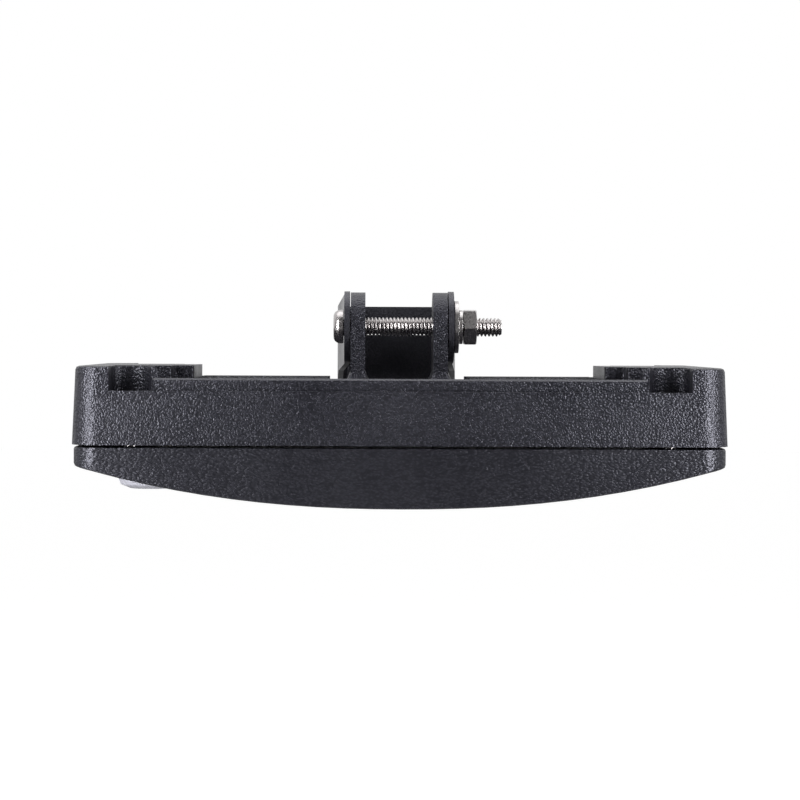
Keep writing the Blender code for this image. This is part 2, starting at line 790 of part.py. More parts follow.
def clip_seat():
    return glass_top()


def clip_screw_seat():
    return clip_seat() + SEAT + CLIP_THICK + SEAT


def frame_screw_end():
    return WELL_FLOOR + SEAT - FRAME_SCREW_LENGTH


def frame_gasket(head, coat):
    outer = cavity_outline(GROOVE_START + GROOVE_WIDTH - SEAT)
    inner = cavity_outline(GROOVE_START + SEAT)
    mesh = ring(outer, inner, SEAT - PARTING_GAP - GROOVE_DEPTH, -SEAT)
    return smooth(made_object("frame_gasket", mesh, parent=head, coat=coat))


def glass_lens(head, coat):
    outline = rectangle(WINDOW_X + GLASS_LAP, WINDOW_Y + GLASS_LAP, GLASS_CORNER)
    mesh = prism(outline, glass_top() - GLASS_THICK, glass_top())
    return smooth(made_object("glass_lens", mesh, parent=head, coat=coat))


def lens_gasket(head, coat):
    start = SEAT * 2
    end = start + SEAL_WIDTH
    outer = rectangle(WINDOW_X + end, WINDOW_Y + end, WINDOW_CORNER)
    inner = rectangle(WINDOW_X + start, WINDOW_Y + start, WINDOW_CORNER)
    mesh = ring(outer, inner, LEDGE_Z + SEAT, LEDGE_Z + SEAT + SEAL_THICK)
    return smooth(made_object("lens_gasket", mesh, parent=head, coat=coat))


def glass_clip(name, x, y, head, coat):
    """A flat steel clip screwed to the frame, reaching over the glass's edge."""
    side = math.copysign(1, y)
    inner = WINDOW_Y + GLASS_LAP - CLIP_GRIP
    low, high = sorted((side * inner - y, side * CLIP_TAIL))
    outline = box_outline(-CLIP_WIDTH / 2, low, CLIP_WIDTH / 2, high, CLIP_THICK)
    mesh = prism(outline, 0, CLIP_THICK)
    made = made_object(name, mesh, (x, y, clip_seat() + SEAT), head, coat)
    hole = prism(circle(SMALL_SCREW_RADIUS + SEAT, SCREW_STEPS), -OVERRUN, CLIP_THICK + OVERRUN)
    cut(made, made_object(name + "_hole", hole, parent=made))
    return smooth(made)


def screw(name, place, sizes, parent, coat, turn=(0, 0, 0), steps=SCREW_STEPS):
    """A pan head screw with a hexagon socket. Its head is on +Z and seats at 0."""
    radius, length, head_radius, head_height = sizes
    point = radius * POINT_SHARE
    profile = [(0, -length), (radius - point, -length), (radius, point - length)]
    profile += [(radius, 0), (head_radius, 0)]
    profile += quarter_round(head_radius, head_height, head_height * HEAD_ROUND_SHARE)
    profile += [(0, head_height)]
    made = made_object(name, turned(profile, steps), place, parent, coat, turn)
    depth = head_height * (1 - DRIVE_DEPTH_SHARE)
    socket = prism(hexagon(head_radius * DRIVE_SHARE), depth, head_height + OVERRUN)
    cut(made, made_object(name + "_socket", socket, parent=made))
    return smooth(made)


def small_screw(length):
    return SMALL_SCREW_RADIUS, length, SMALL_SCREW_HEAD, SMALL_SCREW_HEAD_HEIGHT


def board_top():
    return CEILING - SEAT - PAD_THICK - SEAT


def reflector_top():
    return board_top() - BOARD_THICK - SEAT


def cell_places():
    places = []
    for column in range(CELL_COLUMNS):
        for row in range(CELL_ROWS):
            x = CELL_LENGTH * (column - (CELL_COLUMNS - 1) / 2)
            y = CELL_DEPTH * (row - (CELL_ROWS - 1) / 2)
            places.append((x, y))
    return places


def thermal_pad(head, coat):
    outline = rectangle(BOARD_LENGTH / 2, BOARD_DEPTH / 2, SMALL_SCREW_HEAD)
    mesh = prism(outline, board_top() + SEAT, CEILING - SEAT)
    return smooth(made_object("thermal_pad", mesh, parent=head, coat=coat))


def led_board(head, coat):
    """A metal core board with a square package and a dome for each light."""
    outline = rectangle(BOARD_LENGTH / 2, BOARD_DEPTH / 2, SMALL_SCREW_HEAD)
    face = board_top() - BOARD_THICK
    made = made_object("led_board", prism(outline, face, board_top()), parent=head, coat=coat)
    packages = []
    domes = []
    for x, y in cell_places():
        square = rectangle(LED_SIDE / 2, LED_SIDE / 2)
        packages.append((prism(square, face - LED_HEIGHT, face + LED_HEIGHT), (x, y, 0)))
        domes.append((turned(dome_profile(), SCREW_STEPS), (x, y, face - LED_HEIGHT)))
    join(made, made_object("led_packages", gathered(packages), parent=head))
    join(made, made_object("led_domes", gathered(domes), parent=head))
    return smooth(made)


def dome_profile():
    profile = [(0, LED_HEIGHT / 2), (LED_DOME_RADIUS, LED_HEIGHT / 2), (LED_DOME_RADIUS, 0)]
    for k in range(1, SMALL_STEPS):
        angle = math.pi / 2 * k / SMALL_STEPS
        profile.append((LED_DOME_RADIUS * math.cos(angle), -LED_DOME_RADIUS * math.sin(angle)))
    return profile + [(0, -LED_DOME_RADIUS)]


def reflector(head, coat):
    """A moulded tray of square funnels, one round each light."""
    half_x, half_y = reflector_half_sizes()
    outline = rectangle(half_x, half_y, REFLECTOR_MARGIN)
    body = prism(outline, REFLECTOR_LOW, reflector_top())
    made = made_object("reflector", body, parent=head, coat=coat)
    mouth_x = (CELL_LENGTH - CELL_WALL) / 2
    mouth_y = (CELL_DEPTH - CELL_WALL) / 2
    throat = CELL_THROAT / 2
    step = reflector_top() - REFLECTOR_BACK
    rings = [
        (REFLECTOR_LOW - OVERRUN, rectangle(mouth_x, mouth_y)),
        (REFLECTOR_LOW + CELL_WALL, rectangle(mouth_x, mouth_y)),
        (step, rectangle(throat, throat)),
        (reflector_top() + OVERRUN, rectangle(throat, throat)),
    ]
    funnels = [(lofted(rings), (x, y, 0)) for x, y in cell_places()]
    posts = []
    bores = []
    bore = circle(SMALL_SCREW_RADIUS + SEAT, SCREW_STEPS)
    for x, y in reflector_posts():
        post = prism(circle(REFLECTOR_POST_RADIUS), REFLECTOR_LOW, CEILING - SEAT)
        posts.append((post, (x, y, 0)))
        bores.append((prism(bore, REFLECTOR_LOW - OVERRUN, CEILING + OVERRUN), (x, y, 0)))
    cut(made, made_object("funnels", gathered(funnels), parent=head))
    join(made, made_object("posts", gathered(posts), parent=head))
    cut(made, made_object("bores", gathered(bores), parent=head))
    return smooth(made)


def reflector_screw(name, x, y, head, coat):
    length = screw_hole_top() - SEAT - REFLECTOR_LOW + SEAT
    place = (x, y, REFLECTOR_LOW - SEAT)
    return screw(name, place, small_screw(length), head, coat, (math.pi, 0, 0))


def driver(head, coat):
    """The power supply's case, hung from the cavity's ceiling by two tabs."""
    top = CEILING - SEAT
    half_x, half_y = DRIVER_WIDTH / 2, DRIVER_LENGTH / 2
    rings = [
        (DRIVER_LOW, rectangle(half_x - DRIVER_EDGE, half_y - DRIVER_EDGE, DRIVER_EDGE)),
        (DRIVER_LOW + DRIVER_EDGE, rectangle(half_x, half_y, DRIVER_EDGE)),
        (top, rectangle(half_x, half_y, DRIVER_EDGE)),
    ]
    place = (DRIVER_X, 0, 0)
    made = made_object("driver", lofted(rings), place, head, coat)
    reach = half_y + DRIVER_TAB_LENGTH
    outline = rectangle(DRIVER_TAB_WIDTH / 2, reach, DRIVER_TAB_THICK)
    tabs = prism(outline, top - DRIVER_TAB_THICK, top)
    join(made, made_object("driver_tabs", tabs, place, head))
    for side in (-1, 1):
        hole = prism(
            circle(SMALL_SCREW_RADIUS + SEAT, SCREW_STEPS),
            top - DRIVER_TAB_THICK - OVERRUN,
            top + OVERRUN,
        )
        spot = (DRIVER_X, side * driver_screw_y(), 0)
        cut(made, made_object(f"driver_tab_hole_{side}", hole, spot, head))
    return smooth(made)


def driver_screw(name, side, head, coat):
    seat = CEILING - SEAT - DRIVER_TAB_THICK - SEAT
    length = CEILING + DRIVER_SCREW_LENGTH - SEAT - seat
    place = (DRIVER_X, side * driver_screw_y(), seat)
    return screw(name, place, small_screw(length), head, coat, (math.pi, 0, 0))


def terminal_block(head, coat):
    half_x, half_y = TERMINAL_WIDTH / 2, TERMINAL_LENGTH / 2
    high = CEILING - SEAT
    low = high - TERMINAL_HEIGHT
    edge = DRIVER_EDGE / 2
    mesh = prism(rectangle(half_x, half_y, edge), low, high)
    place = (TERMINAL_X, 0, 0)
    made = made_object("terminal_block", mesh, place, head, coat)
    middle = (low + high) / 2
    for pole in range(TERMINAL_POLES):
        y = TERMINAL_LENGTH / TERMINAL_POLES * (pole - (TERMINAL_POLES - 1) / 2)
        face = TERMINAL_X + half_x
        entry = prism(
            circle(TERMINAL_ENTRY / 2, SCREW_STEPS),
            face - TERMINAL_ENTRY_DEPTH,
            face + OVERRUN,
            "X",
        )
        cut(made, made_object(f"wire_entry_{pole + 1}", entry, (0, y, middle), head))
    return smooth(made)


def gland_body(head, coat):
    """A hexagon flange on a threaded tube through the wall, with a neck outside."""
    face = FITTING_BOSS_FACE + SEAT
    flange = face + GLAND_HEX_LENGTH
    inside = CAVITY_Y - GLAND_INSIDE
    end = flange + GLAND_NECK_LENGTH
    seal_seat = end - GLAND_SEAL_LENGTH
    profile = (
        (GLAND_BORE_RADIUS, inside),
        (GLAND_THREAD_RADIUS, inside),
        (GLAND_THREAD_RADIUS, face + SEAT),
        (GLAND_NECK_RADIUS, face + SEAT),
        (GLAND_NECK_RADIUS, end),
        (GLAND_SEAL_RADIUS + SEAT, end),
        (GLAND_SEAL_RADIUS + SEAT, seal_seat),
        (GLAND_BORE_RADIUS, seal_seat),
    )
    place = (GLAND_X, 0, FITTING_Z)
    made = made_object("gland_body", turned(profile, along="Y"), place, head, coat)
    flats = made_object("gland_flats", prism(hexagon(GLAND_FLATS), face, flange, "Y"), place, head)
    core = prism(circle(GLAND_SEAL_RADIUS + SEAT * 2), face - OVERRUN, flange + OVERRUN, "Y")
    cut(flats, made_object("gland_core", core, place, head))
    join(made, flats)
    return smooth(made)


def gland_seal(head, coat):
    end = FITTING_BOSS_FACE + SEAT + GLAND_HEX_LENGTH + GLAND_NECK_LENGTH
    low = end - GLAND_SEAL_LENGTH + SEAT
    profile = (
        (GLAND_SEAL_BORE, low),
        (GLAND_SEAL_RADIUS, low),
        (GLAND_SEAL_RADIUS, end),
        (GLAND_SEAL_BORE, end),
    )
    place = (GLAND_X, 0, FITTING_Z)
    return smooth(made_object("gland_seal", turned(profile, along="Y"), place, head, coat))


def gland_cap(head, coat):
    """The cap that screws over the neck and squeezes the seal."""
    flange = FITTING_BOSS_FACE + SEAT + GLAND_HEX_LENGTH
    neck_end = flange + GLAND_NECK_LENGTH
    low = flange + SEAT
    inner = neck_end + SEAT
    high = inner + GLAND_CAP_END
    profile = [(GLAND_NECK_RADIUS + SEAT, low), (GLAND_CAP_RADIUS, low)]
    profile += quarter_round(GLAND_CAP_RADIUS, high, GLAND_CAP_ROUND)
    profile += [(GLAND_BORE_RADIUS, high), (GLAND_BORE_RADIUS, inner)]
    profile += [(GLAND_NECK_RADIUS + SEAT, inner)]
    place = (GLAND_X, 0, FITTING_Z)
    return smooth(made_object("gland_cap", turned(profile, along="Y"), place, head, coat))


def gland_locknut(head, coat):
    high = CAVITY_Y - SEAT
    low = high - LOCKNUT_LENGTH
    place = (GLAND_X, 0, FITTING_Z)
    mesh = prism(hexagon(LOCKNUT_FLATS), low, high, "Y")
    made = made_object("gland_locknut", mesh, place, head, coat)
    bore = prism(circle(GLAND_THREAD_RADIUS + SEAT, ROUND_STEPS), low - OVERRUN, high + OVERRUN, "Y")
    cut(made, made_object("locknut_bore", bore, place, head))
    return smooth(made)


def vent_plug(head, coat):
    """A pressure vent with a slotted cap on its threaded stem."""
    face = FITTING_BOSS_FACE + SEAT
    high = face + VENT_CAP_LENGTH
    profile = [(0, CAVITY_Y), (VENT_THREAD_RADIUS, CAVITY_Y), (VENT_THREAD_RADIUS, face)]
    profile += [(VENT_CAP_RADIUS, face)]
    profile += quarter_round(VENT_CAP_RADIUS, high, VENT_CAP_ROUND)
    profile += [(0, high)]
    place = (VENT_X, 0, FITTING_Z)
    made = made_object("vent_plug", turned(profile, along="Y"), place, head, coat)
    for i in range(VENT_SLOTS // 2):
        half = VENT_SLOT_WIDTH / 2
        mesh = prism(
            rectangle(VENT_CAP_RADIUS + OVERRUN, half),
            high - VENT_SLOT_WIDTH,
            high + OVERRUN,
            "Y",
        )
        turn = (0, math.tau * i / VENT_SLOTS, 0)
        cut(made, made_object(f"vent_slot_{i + 1}", mesh, place, head, turn=turn))
    return smooth(made)


def sensor_cover(head, coat):
    """A round cap over the dusk sensor, hollow and open towards the frame."""
    high = SENSOR_SEAT - SEAT
    inner = SENSOR_RADIUS - SENSOR_WALL
    profile = [(inner, high), (SENSOR_RADIUS, high)]
    profile += quarter_round_down(SENSOR_RADIUS, SENSOR_LOW, SENSOR_EDGE_ROUND)
    profile += [(0, SENSOR_LOW)]
    profile += [(0, SENSOR_LOW + SENSOR_WALL)]
    round_inside = SENSOR_EDGE_ROUND - SENSOR_WALL
    inside = quarter_round_down(inner, SENSOR_LOW + SENSOR_WALL, round_inside)
    profile += list(reversed(inside))
    place = (SENSOR_X, 0, 0)
    return smooth(made_object("sensor_cover", turned(profile), place, head, coat))


def quarter_round_down(radius, low, size, steps=SMALL_STEPS):
    """Points of a rounded lower edge, from the side to the underside."""
    points = []
    for k in range(steps + 1):
        angle = math.pi / 2 * k / steps
        points.append((radius - size + size * math.cos(angle), low + size - size * math.sin(angle)))
    return points


def sensor_base(head, coat):
    """The flange inside the cover, with the threaded neck through the frame."""
    high = SENSOR_SEAT - SEAT
    low = high - SENSOR_FLANGE_THICK
    profile = (
        (0, low),
        (SENSOR_FLANGE_RADIUS, low),
        (SENSOR_FLANGE_RADIUS, high),
        (SENSOR_NECK_RADIUS, high),
        (SENSOR_NECK_RADIUS, SENSOR_NECK_TOP),
        (0, SENSOR_NECK_TOP),
    )
    return smooth(made_object("sensor_base", turned(profile), (SENSOR_X, 0, 0), head, coat))


def sensor_cell(head, coat):
    high = SENSOR_SEAT - SEAT - SENSOR_FLANGE_THICK - SEAT
    low = high - SENSOR_CELL_HEIGHT
    mesh = prism(circle(SENSOR_CELL_RADIUS), low, high)
    return smooth(made_object("sensor_cell", mesh, (SENSOR_X, 0, 0), head, coat))


def sensor_nut(head, coat):
    low = SENSOR_BOSS_TOP + SEAT
    high = low + SENSOR_NUT_THICK
    place = (SENSOR_X, 0, 0)
    mesh = prism(hexagon(SENSOR_NUT_FLATS), low, high)
    made = made_object("sensor_nut", mesh, place, head, coat)
    bore = prism(circle(SENSOR_NECK_RADIUS + SEAT), low - OVERRUN, high + OVERRUN)
    cut(made, made_object("sensor_nut_bore", bore, place, head))
    return smooth(made)


def offset_path(path, distance):
    """A path's corners, each (x, y, bend radius), moved sideways to its left."""
    moved = []
    for i, (x, y, radius) in enumerate(path):
        here = Vector((x, y))
        before = here - Vector(path[max(i, 1) - 1][:2])
        after = Vector(path[min(i + 1, len(path) - 1)][:2]) - here
        before = (before if i else after).normalized()
        after = (after if i < len(path) - 1 else before).normalized()
        left_before = Vector((-before.y, before.x))
        left_after = Vector((-after.y, after.x))
        mitre = (left_before + left_after) / (1 + left_before.dot(left_after))
        corner = here + mitre * distance
        bend = radius
        if radius:
            bend = radius - math.copysign(distance, distance * before.cross(after))
        moved.append((corner.x, corner.y, bend))
    return moved


def strap_outline():
    """The bent strap seen from above its edge."""
    half = STRAP_THICK / 2
    arm = EAR_OUTER_X + SEAT + half
    corner = STRAP_HALF_WIDTH - half
    web = STRAP_REACH - half
    start = STRAP_WIDTH / 2 + OVERRUN
    bend = STRAP_BEND + half
    path = [
        (-arm, -start, 0),
        (-arm, STRAP_STRAIGHT, STRAP_KINK_ROUND),
        (-corner, web, bend),
        (corner, web, bend),
        (arm, STRAP_STRAIGHT, STRAP_KINK_ROUND),
        (arm, -start, 0),
    ]
    return rounded(offset_path(path, half)) + rounded(offset_path(path, -half))[::-1]


def bracket(strap, coat):
    half = STRAP_WIDTH / 2
    made = made_object("bracket", prism(strap_outline(), -half, half), parent=strap, coat=coat)
    side = []
    for k in range(ROUND_STEPS // 2 + 1):
        angle = math.pi / 2 + math.tau * k / ROUND_STEPS
        side.append(Vector((half * math.cos(angle), half * math.sin(angle))))
    far = STRAP_REACH + OVERRUN
    side += [Vector((far, -half - OVERRUN)), Vector((far, half + OVERRUN))]
    reach = STRAP_HALF_WIDTH + OVERRUN
    keep_inside(made, made_object("strap_side", prism(side, -reach, reach, "X"), parent=strap))
    bore = prism(circle(BOLT_RADIUS + SEAT), -reach, reach, "X")
    cut(made, made_object("strap_bore", bore, parent=strap))
    low = STRAP_REACH - STRAP_THICK - OVERRUN
    for side in (-1, 1):
        radius = SLOT_WIDTH * SLOT_ROUND_SHARE
        slot = prism(rectangle(SLOT_LENGTH / 2, SLOT_WIDTH / 2, radius), low, far, "Y")
        cut(made, made_object(f"slot_{side}", slot, (side * SLOT_X, 0, SLOT_RISE), strap))
    return smooth(made)


def clamp_face():
    """Where the hardware bears on the strap's arms."""
    return EAR_OUTER_X + SEAT + STRAP_THICK + SEAT


def tilt_bolt(strap, coat):
    length = BOLT_TAIL_X + clamp_face()
    sizes = (BOLT_RADIUS, length, BOLT_HEAD_RADIUS, BOLT_HEAD_HEIGHT)
    place = (-clamp_face(), 0, 0)
    return screw("tilt_bolt", place, sizes, strap, coat, (0, -math.pi / 2, 0), ROUND_STEPS)


def flat_washer(strap, coat):
    bore = BOLT_RADIUS + SEAT
    profile = (
        (bore, 0),
        (WASHER_RADIUS, 0),
        (WASHER_RADIUS, WASHER_THICK),
        (bore, WASHER_THICK),
    )
    place = (clamp_face(), 0, 0)
    return smooth(made_object("flat_washer", turned(profile, along="X"), place, strap, coat))


def lock_washer(strap, coat):
    outline = []
    for radius, order in ((LOCK_RADIUS, 1), (BOLT_RADIUS + SEAT, -1)):
        arc = []
        for k in range(ROUND_STEPS + 1):
            angle = LOCK_GAP / 2 + (math.tau - LOCK_GAP) * k / ROUND_STEPS
            arc.append(Vector((radius * math.cos(angle), radius * math.sin(angle))))
        outline += arc[::order]
    low = clamp_face() + WASHER_THICK + SEAT
    mesh = prism(outline, low, low + LOCK_THICK, "X")
    return smooth(made_object("lock_washer", mesh, parent=strap, coat=coat))


def hex_nut(strap, coat):
    low = clamp_face() + WASHER_THICK + SEAT + LOCK_THICK + SEAT
    high = low + NUT_THICK
    mesh = prism(hexagon(NUT_ACROSS_FLATS, NUT_TURN), low, high, "X")
    made = made_object("hex_nut", mesh, parent=strap, coat=coat)
    corner = NUT_ACROSS_FLATS / math.sqrt(3) + SEAT
    flat = NUT_ACROSS_FLATS / 2
    profile = (
        (0, low - OVERRUN),
        (flat, low - OVERRUN),
        (flat, low),
        (corner, low + NUT_CHAMFER),
        (corner, high - NUT_CHAMFER),
        (flat, high),
        (flat, high + OVERRUN),
        (0, high + OVERRUN),
    )
    keep_inside(made, made_object("nut_chamfer", turned(profile, along="X"), parent=strap))
    bore = prism(circle(BOLT_RADIUS + SEAT, ROUND_STEPS), low - OVERRUN, high + OVERRUN, "X")
    cut(made, made_object("nut_bore", bore, parent=strap))
    return smooth(made)


def build():
    for old in list(bpy.data.objects):
        bpy.data.objects.remove(old, do_unlink=True)
    pivot = (0, -STRAP_REACH * math.cos(STRAP_TILT), STRAP_REACH * math.sin(STRAP_TILT))
    strap = empty("strap_pivot", pivot, turn=(-STRAP_TILT, 0, 0))
    head = empty("head_pivot", pivot, measured_from=(0, 0, -PIVOT_Z))

    bracket(strap, finish("bracket_coat", (0.035, 0.035, 0.038), 0.6, 0.0))
    tilt_bolt(strap, finish("bolt_steel", (0.62, 0.60, 0.57), 0.3, 1.0))
    flat_washer(strap, finish("washer_steel", (0.60, 0.59, 0.56), 0.32, 1.0))
    lock_washer(strap, finish("lock_washer_steel", (0.58, 0.57, 0.55), 0.34, 1.0))
    hex_nut(strap, finish("nut_steel", (0.60, 0.58, 0.55), 0.3, 1.0))

    rear_housing(head, finish("housing_coat", (0.045, 0.046, 0.050), 0.55, 0.0))
    front_frame(head, finish("frame_coat", (0.040, 0.041, 0.045), 0.55, 0.0))
    frame_gasket(head, finish("gasket_rubber", (0.012, 0.012, 0.012), 0.8, 0.0))
    glass_lens(head, finish("lens_glass", (0.85, 0.88, 0.87), 0.05, 0.0))
    lens_gasket(head, finish("lens_gasket_rubber", (0.015, 0.015, 0.015), 0.8, 0.0))
    clip_coat = (0.55, 0.54, 0.52)
    for i, (x, y) in enumerate(four_corners(CLIP_X, CLIP_Y)):
        coat = finish(f"clip_steel_{i + 1}", clip_coat, 0.35, 1.0)
        glass_clip(f"glass_clip_{i + 1}", x, y, head, coat)
        coat = finish(f"clip_screw_steel_{i + 1}", clip_coat, 0.35, 1.0)
        place = (x, y, clip_screw_seat())
        screw(f"clip_screw_{i + 1}", place, small_screw(CLIP_SCREW_LENGTH), head, coat)
    thermal_pad(head, finish("pad_silicone", (0.35, 0.37, 0.40), 0.85, 0.0))
    led_board(head, finish("board_mask", (0.80, 0.80, 0.77), 0.5, 0.0))
    reflector(head, finish("reflector_film", (0.83, 0.83, 0.82), 0.2, 0.9))
    for i, (x, y) in enumerate(reflector_posts()):
        coat = finish(f"reflector_screw_steel_{i + 1}", clip_coat, 0.35, 1.0)
        reflector_screw(f"reflector_screw_{i + 1}", x, y, head, coat)
    driver(head, finish("driver_case", (0.70, 0.70, 0.68), 0.6, 0.0))
    for i, side in enumerate((-1, 1)):
        coat = finish(f"driver_screw_steel_{i + 1}", clip_coat, 0.35, 1.0)
        driver_screw(f"driver_screw_{i + 1}", side, head, coat)
    terminal_block(head, finish("terminal_nylon", (0.75, 0.73, 0.66), 0.5, 0.0))
    for i, (x, y) in enumerate(four_corners(WELL_X, WELL_Y)):
        coat = finish(f"frame_screw_steel_{i + 1}", (0.50, 0.49, 0.47), 0.35, 1.0)
        place = (x, y, WELL_FLOOR + SEAT)
        sizes = (
            FRAME_SCREW_RADIUS,
            FRAME_SCREW_LENGTH,
            FRAME_SCREW_HEAD,
            FRAME_SCREW_HEAD_HEIGHT,
        )
        screw(f"frame_screw_{i + 1}", place, sizes, head, coat, steps=HOLE_STEPS)
    gland_body(head, finish("gland_nylon", (0.020, 0.020, 0.021), 0.45, 0.0))
    gland_seal(head, finish("gland_rubber", (0.015, 0.015, 0.015), 0.8, 0.0))
    gland_cap(head, finish("gland_cap_nylon", (0.022, 0.022, 0.023), 0.45, 0.0))
    gland_locknut(head, finish("locknut_nylon", (0.022, 0.022, 0.023), 0.45, 0.0))
    vent_plug(head, finish("vent_nylon", (0.022, 0.022, 0.023), 0.5, 0.0))
    sensor_cover(head, finish("sensor_cover_plastic", (0.30, 0.30, 0.32), 0.6, 0.0))
    sensor_base(head, finish("sensor_base_plastic", (0.05, 0.05, 0.05), 0.5, 0.0))
    sensor_cell(head, finish("sensor_cell_resin", (0.35, 0.12, 0.08), 0.3, 0.0))
    sensor_nut(head, finish("sensor_nut_brass", (0.55, 0.45, 0.25), 0.35, 1.0))


build()
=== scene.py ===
# %% [markdown]
# # A linear floodlight on a strap bracket
# The solids of the lamp come in as a fixed frame, each one already in its place and in
# metres. This lesson gives them their finishes, adds the fine forms that a solid model
# leaves out, such as the bolt's thread, and sets up the studio in which it is seen.

# %% Load the frame
import json
import math

import bmesh
import bpy
from mathutils import Matrix, Quaternion, Vector


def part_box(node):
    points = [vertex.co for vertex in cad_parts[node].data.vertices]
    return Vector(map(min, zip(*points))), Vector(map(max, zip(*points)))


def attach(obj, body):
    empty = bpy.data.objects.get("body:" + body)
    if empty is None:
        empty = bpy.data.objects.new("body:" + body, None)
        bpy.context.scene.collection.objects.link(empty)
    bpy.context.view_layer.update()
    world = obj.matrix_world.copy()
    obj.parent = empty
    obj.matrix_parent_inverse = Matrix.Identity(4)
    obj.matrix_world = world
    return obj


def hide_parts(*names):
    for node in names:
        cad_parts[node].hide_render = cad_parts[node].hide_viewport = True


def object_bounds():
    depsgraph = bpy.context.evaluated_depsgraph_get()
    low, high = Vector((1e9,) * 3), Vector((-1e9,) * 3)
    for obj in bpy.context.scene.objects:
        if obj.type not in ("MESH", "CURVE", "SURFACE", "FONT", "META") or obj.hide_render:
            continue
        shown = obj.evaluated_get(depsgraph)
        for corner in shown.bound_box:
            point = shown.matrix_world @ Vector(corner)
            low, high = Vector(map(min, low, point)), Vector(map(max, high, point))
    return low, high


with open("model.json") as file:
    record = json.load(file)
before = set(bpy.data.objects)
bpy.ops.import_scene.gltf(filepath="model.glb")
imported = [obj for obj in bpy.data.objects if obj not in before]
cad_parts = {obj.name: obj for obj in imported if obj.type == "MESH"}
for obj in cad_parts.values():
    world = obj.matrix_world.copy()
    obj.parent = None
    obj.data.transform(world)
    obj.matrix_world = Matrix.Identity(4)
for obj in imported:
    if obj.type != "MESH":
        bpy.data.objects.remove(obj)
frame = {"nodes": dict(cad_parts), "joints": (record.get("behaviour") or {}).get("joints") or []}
nodes = frame["nodes"]
solid_box = [list(corner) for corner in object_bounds()]
MM = 0.001


def in_mm(box):
    """A box's two corners in millimetres, short enough to print."""
    return [[round(c / MM, 1) for c in corner] for corner in box]


print("solids:", len(nodes), "box in mm:", in_mm(solid_box))

# %% [markdown]
# ## Places read from the frame
# Fine pieces have to sit on the solids that carry them, so their places are worked out
# from the frame and not typed in. The tilt joint gives the pivot, and the box of the
# bolt says where its head begins and where its thread ends.

# %% The pivot and the bolt
pivot = Vector(frame["joints"][0]["pos_m"])
bolt_low, bolt_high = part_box("tilt_bolt")
print("pivot in mm:", [round(c / MM, 2) for c in pivot])
print("bolt in mm:", in_mm((bolt_low, bolt_high)))

# %% [markdown]
# ## Helpers for materials
# A shader is a chain of nodes. One small function adds a node, sets its values and
# links its inputs, which keeps each material short enough to read as a recipe. Colours
# are written as the sRGB hex values seen on a screen and turned to linear light, which
# is what the renderer adds up. A pattern's scale is the number of its grains in a
# metre, so it is worked out from the grain's real width.

# %% Colour, scale and node helpers
def linear(code):
    """An sRGB hex colour as linear red, green, blue and alpha."""
    parts = [int(code[i : i + 2], 16) / 255 for i in (1, 3, 5)]
    light = [p / 12.92 if p <= 0.04045 else ((p + 0.055) / 1.055) ** 2.4 for p in parts]
    return (*light, 1.0)


def grain(millimetres):
    """The scale of a pattern whose grains are about that wide."""
    return 1 / (millimetres * MM)


def add(owner, kind, values=None, links=None, **settings):
    """A node of a kind, with its socket values, its input links and its settings."""
    tree = getattr(owner, "node_tree", owner)
    node = tree.nodes.new(kind)
    for name, value in settings.items():
        setattr(node, name, value)
    for name, value in (values or {}).items():
        node.inputs[name].default_value = value
    for name, source in (links or {}).items():
        tree.links.new(source, node.inputs[name])
    return node


print("middle grey in linear light:", round(linear("#808080")[0], 3))

# %% [markdown]
# ## The start and the gloss of a material
# Every finish here starts from the Principled shader, with its even values on the
# shader's own sockets. No real surface is equally shiny all over, so each finish then
# lets its roughness drift a little with a noise. A noise keeps mostly between 0.3 and
# 0.7, and that span is spread over the roughness that the finish may have.

# %% Begin a material and let its gloss drift
NOISE_LOW, NOISE_HIGH = 0.3, 0.7


def begin(name, **values):
    """A new material, with its Principled shader's sockets set."""
    material = bpy.data.materials.new(name)
    material.use_nodes = True
    shader = material.node_tree.nodes["Principled BSDF"]
    for socket, value in values.items():
        shader.inputs[socket.replace("_", " ")].default_value = value
    return material, shader


def connect(material, source, shader, socket):
    material.node_tree.links.new(source, shader.inputs[socket])


def drift(material, shader, noise, rough, less, more):
    """Roughness that follows a noise, from rough - less to rough + more."""
    spread = {"From Min": NOISE_LOW, "From Max": NOISE_HIGH}
    spread.update({"To Min": rough - less, "To Max": rough + more})
    gloss = add(material, "ShaderNodeMapRange", spread, {"Value": noise})
    connect(material, gloss.outputs["Result"], shader, "Roughness")


print("materials so far:", len(bpy.data.materials))

# %% [markdown]
# ## The pebbles of a textured powder coat
# Textured powder melts into low round pebbles with fine valleys between them. Noise
# would give clouds, but a Voronoi pattern gives cells: its distance grows from the
# middle of each cell to its rim, and the smooth kind lets neighbours melt together. The
# cells alone look like tiles, so a wider noise pushes the place that they read about.
# The real pebbles are near half a millimetre wide, which just shows in the render.

# %% Pebbles
STRAY_WIDTHS = 3
STRAY_REACH = 1.1
MELTED = 0.55


def pebbles(material, place, width_mm):
    """The distance from the middle of the nearest pebble."""
    stray = add(
        material,
        "ShaderNodeTexNoise",
        {"Scale": grain(STRAY_WIDTHS * width_mm), "Detail": 2.0},
        {"Vector": place},
    )
    wander = add(
        material,
        "ShaderNodeVectorMath",
        {1: (STRAY_REACH * width_mm * MM,) * 3},
        {0: stray.outputs["Color"], 2: place},
        operation="MULTIPLY_ADD",
    )
    cells = add(
        material,
        "ShaderNodeTexVoronoi",
        {"Scale": grain(width_mm), "Smoothness": MELTED},
        {"Vector": wander.outputs["Vector"]},
        feature="SMOOTH_F1",
    )
    return cells.outputs["Distance"]


print("cells of 0.6 mm in a metre:", round(grain(0.6)))

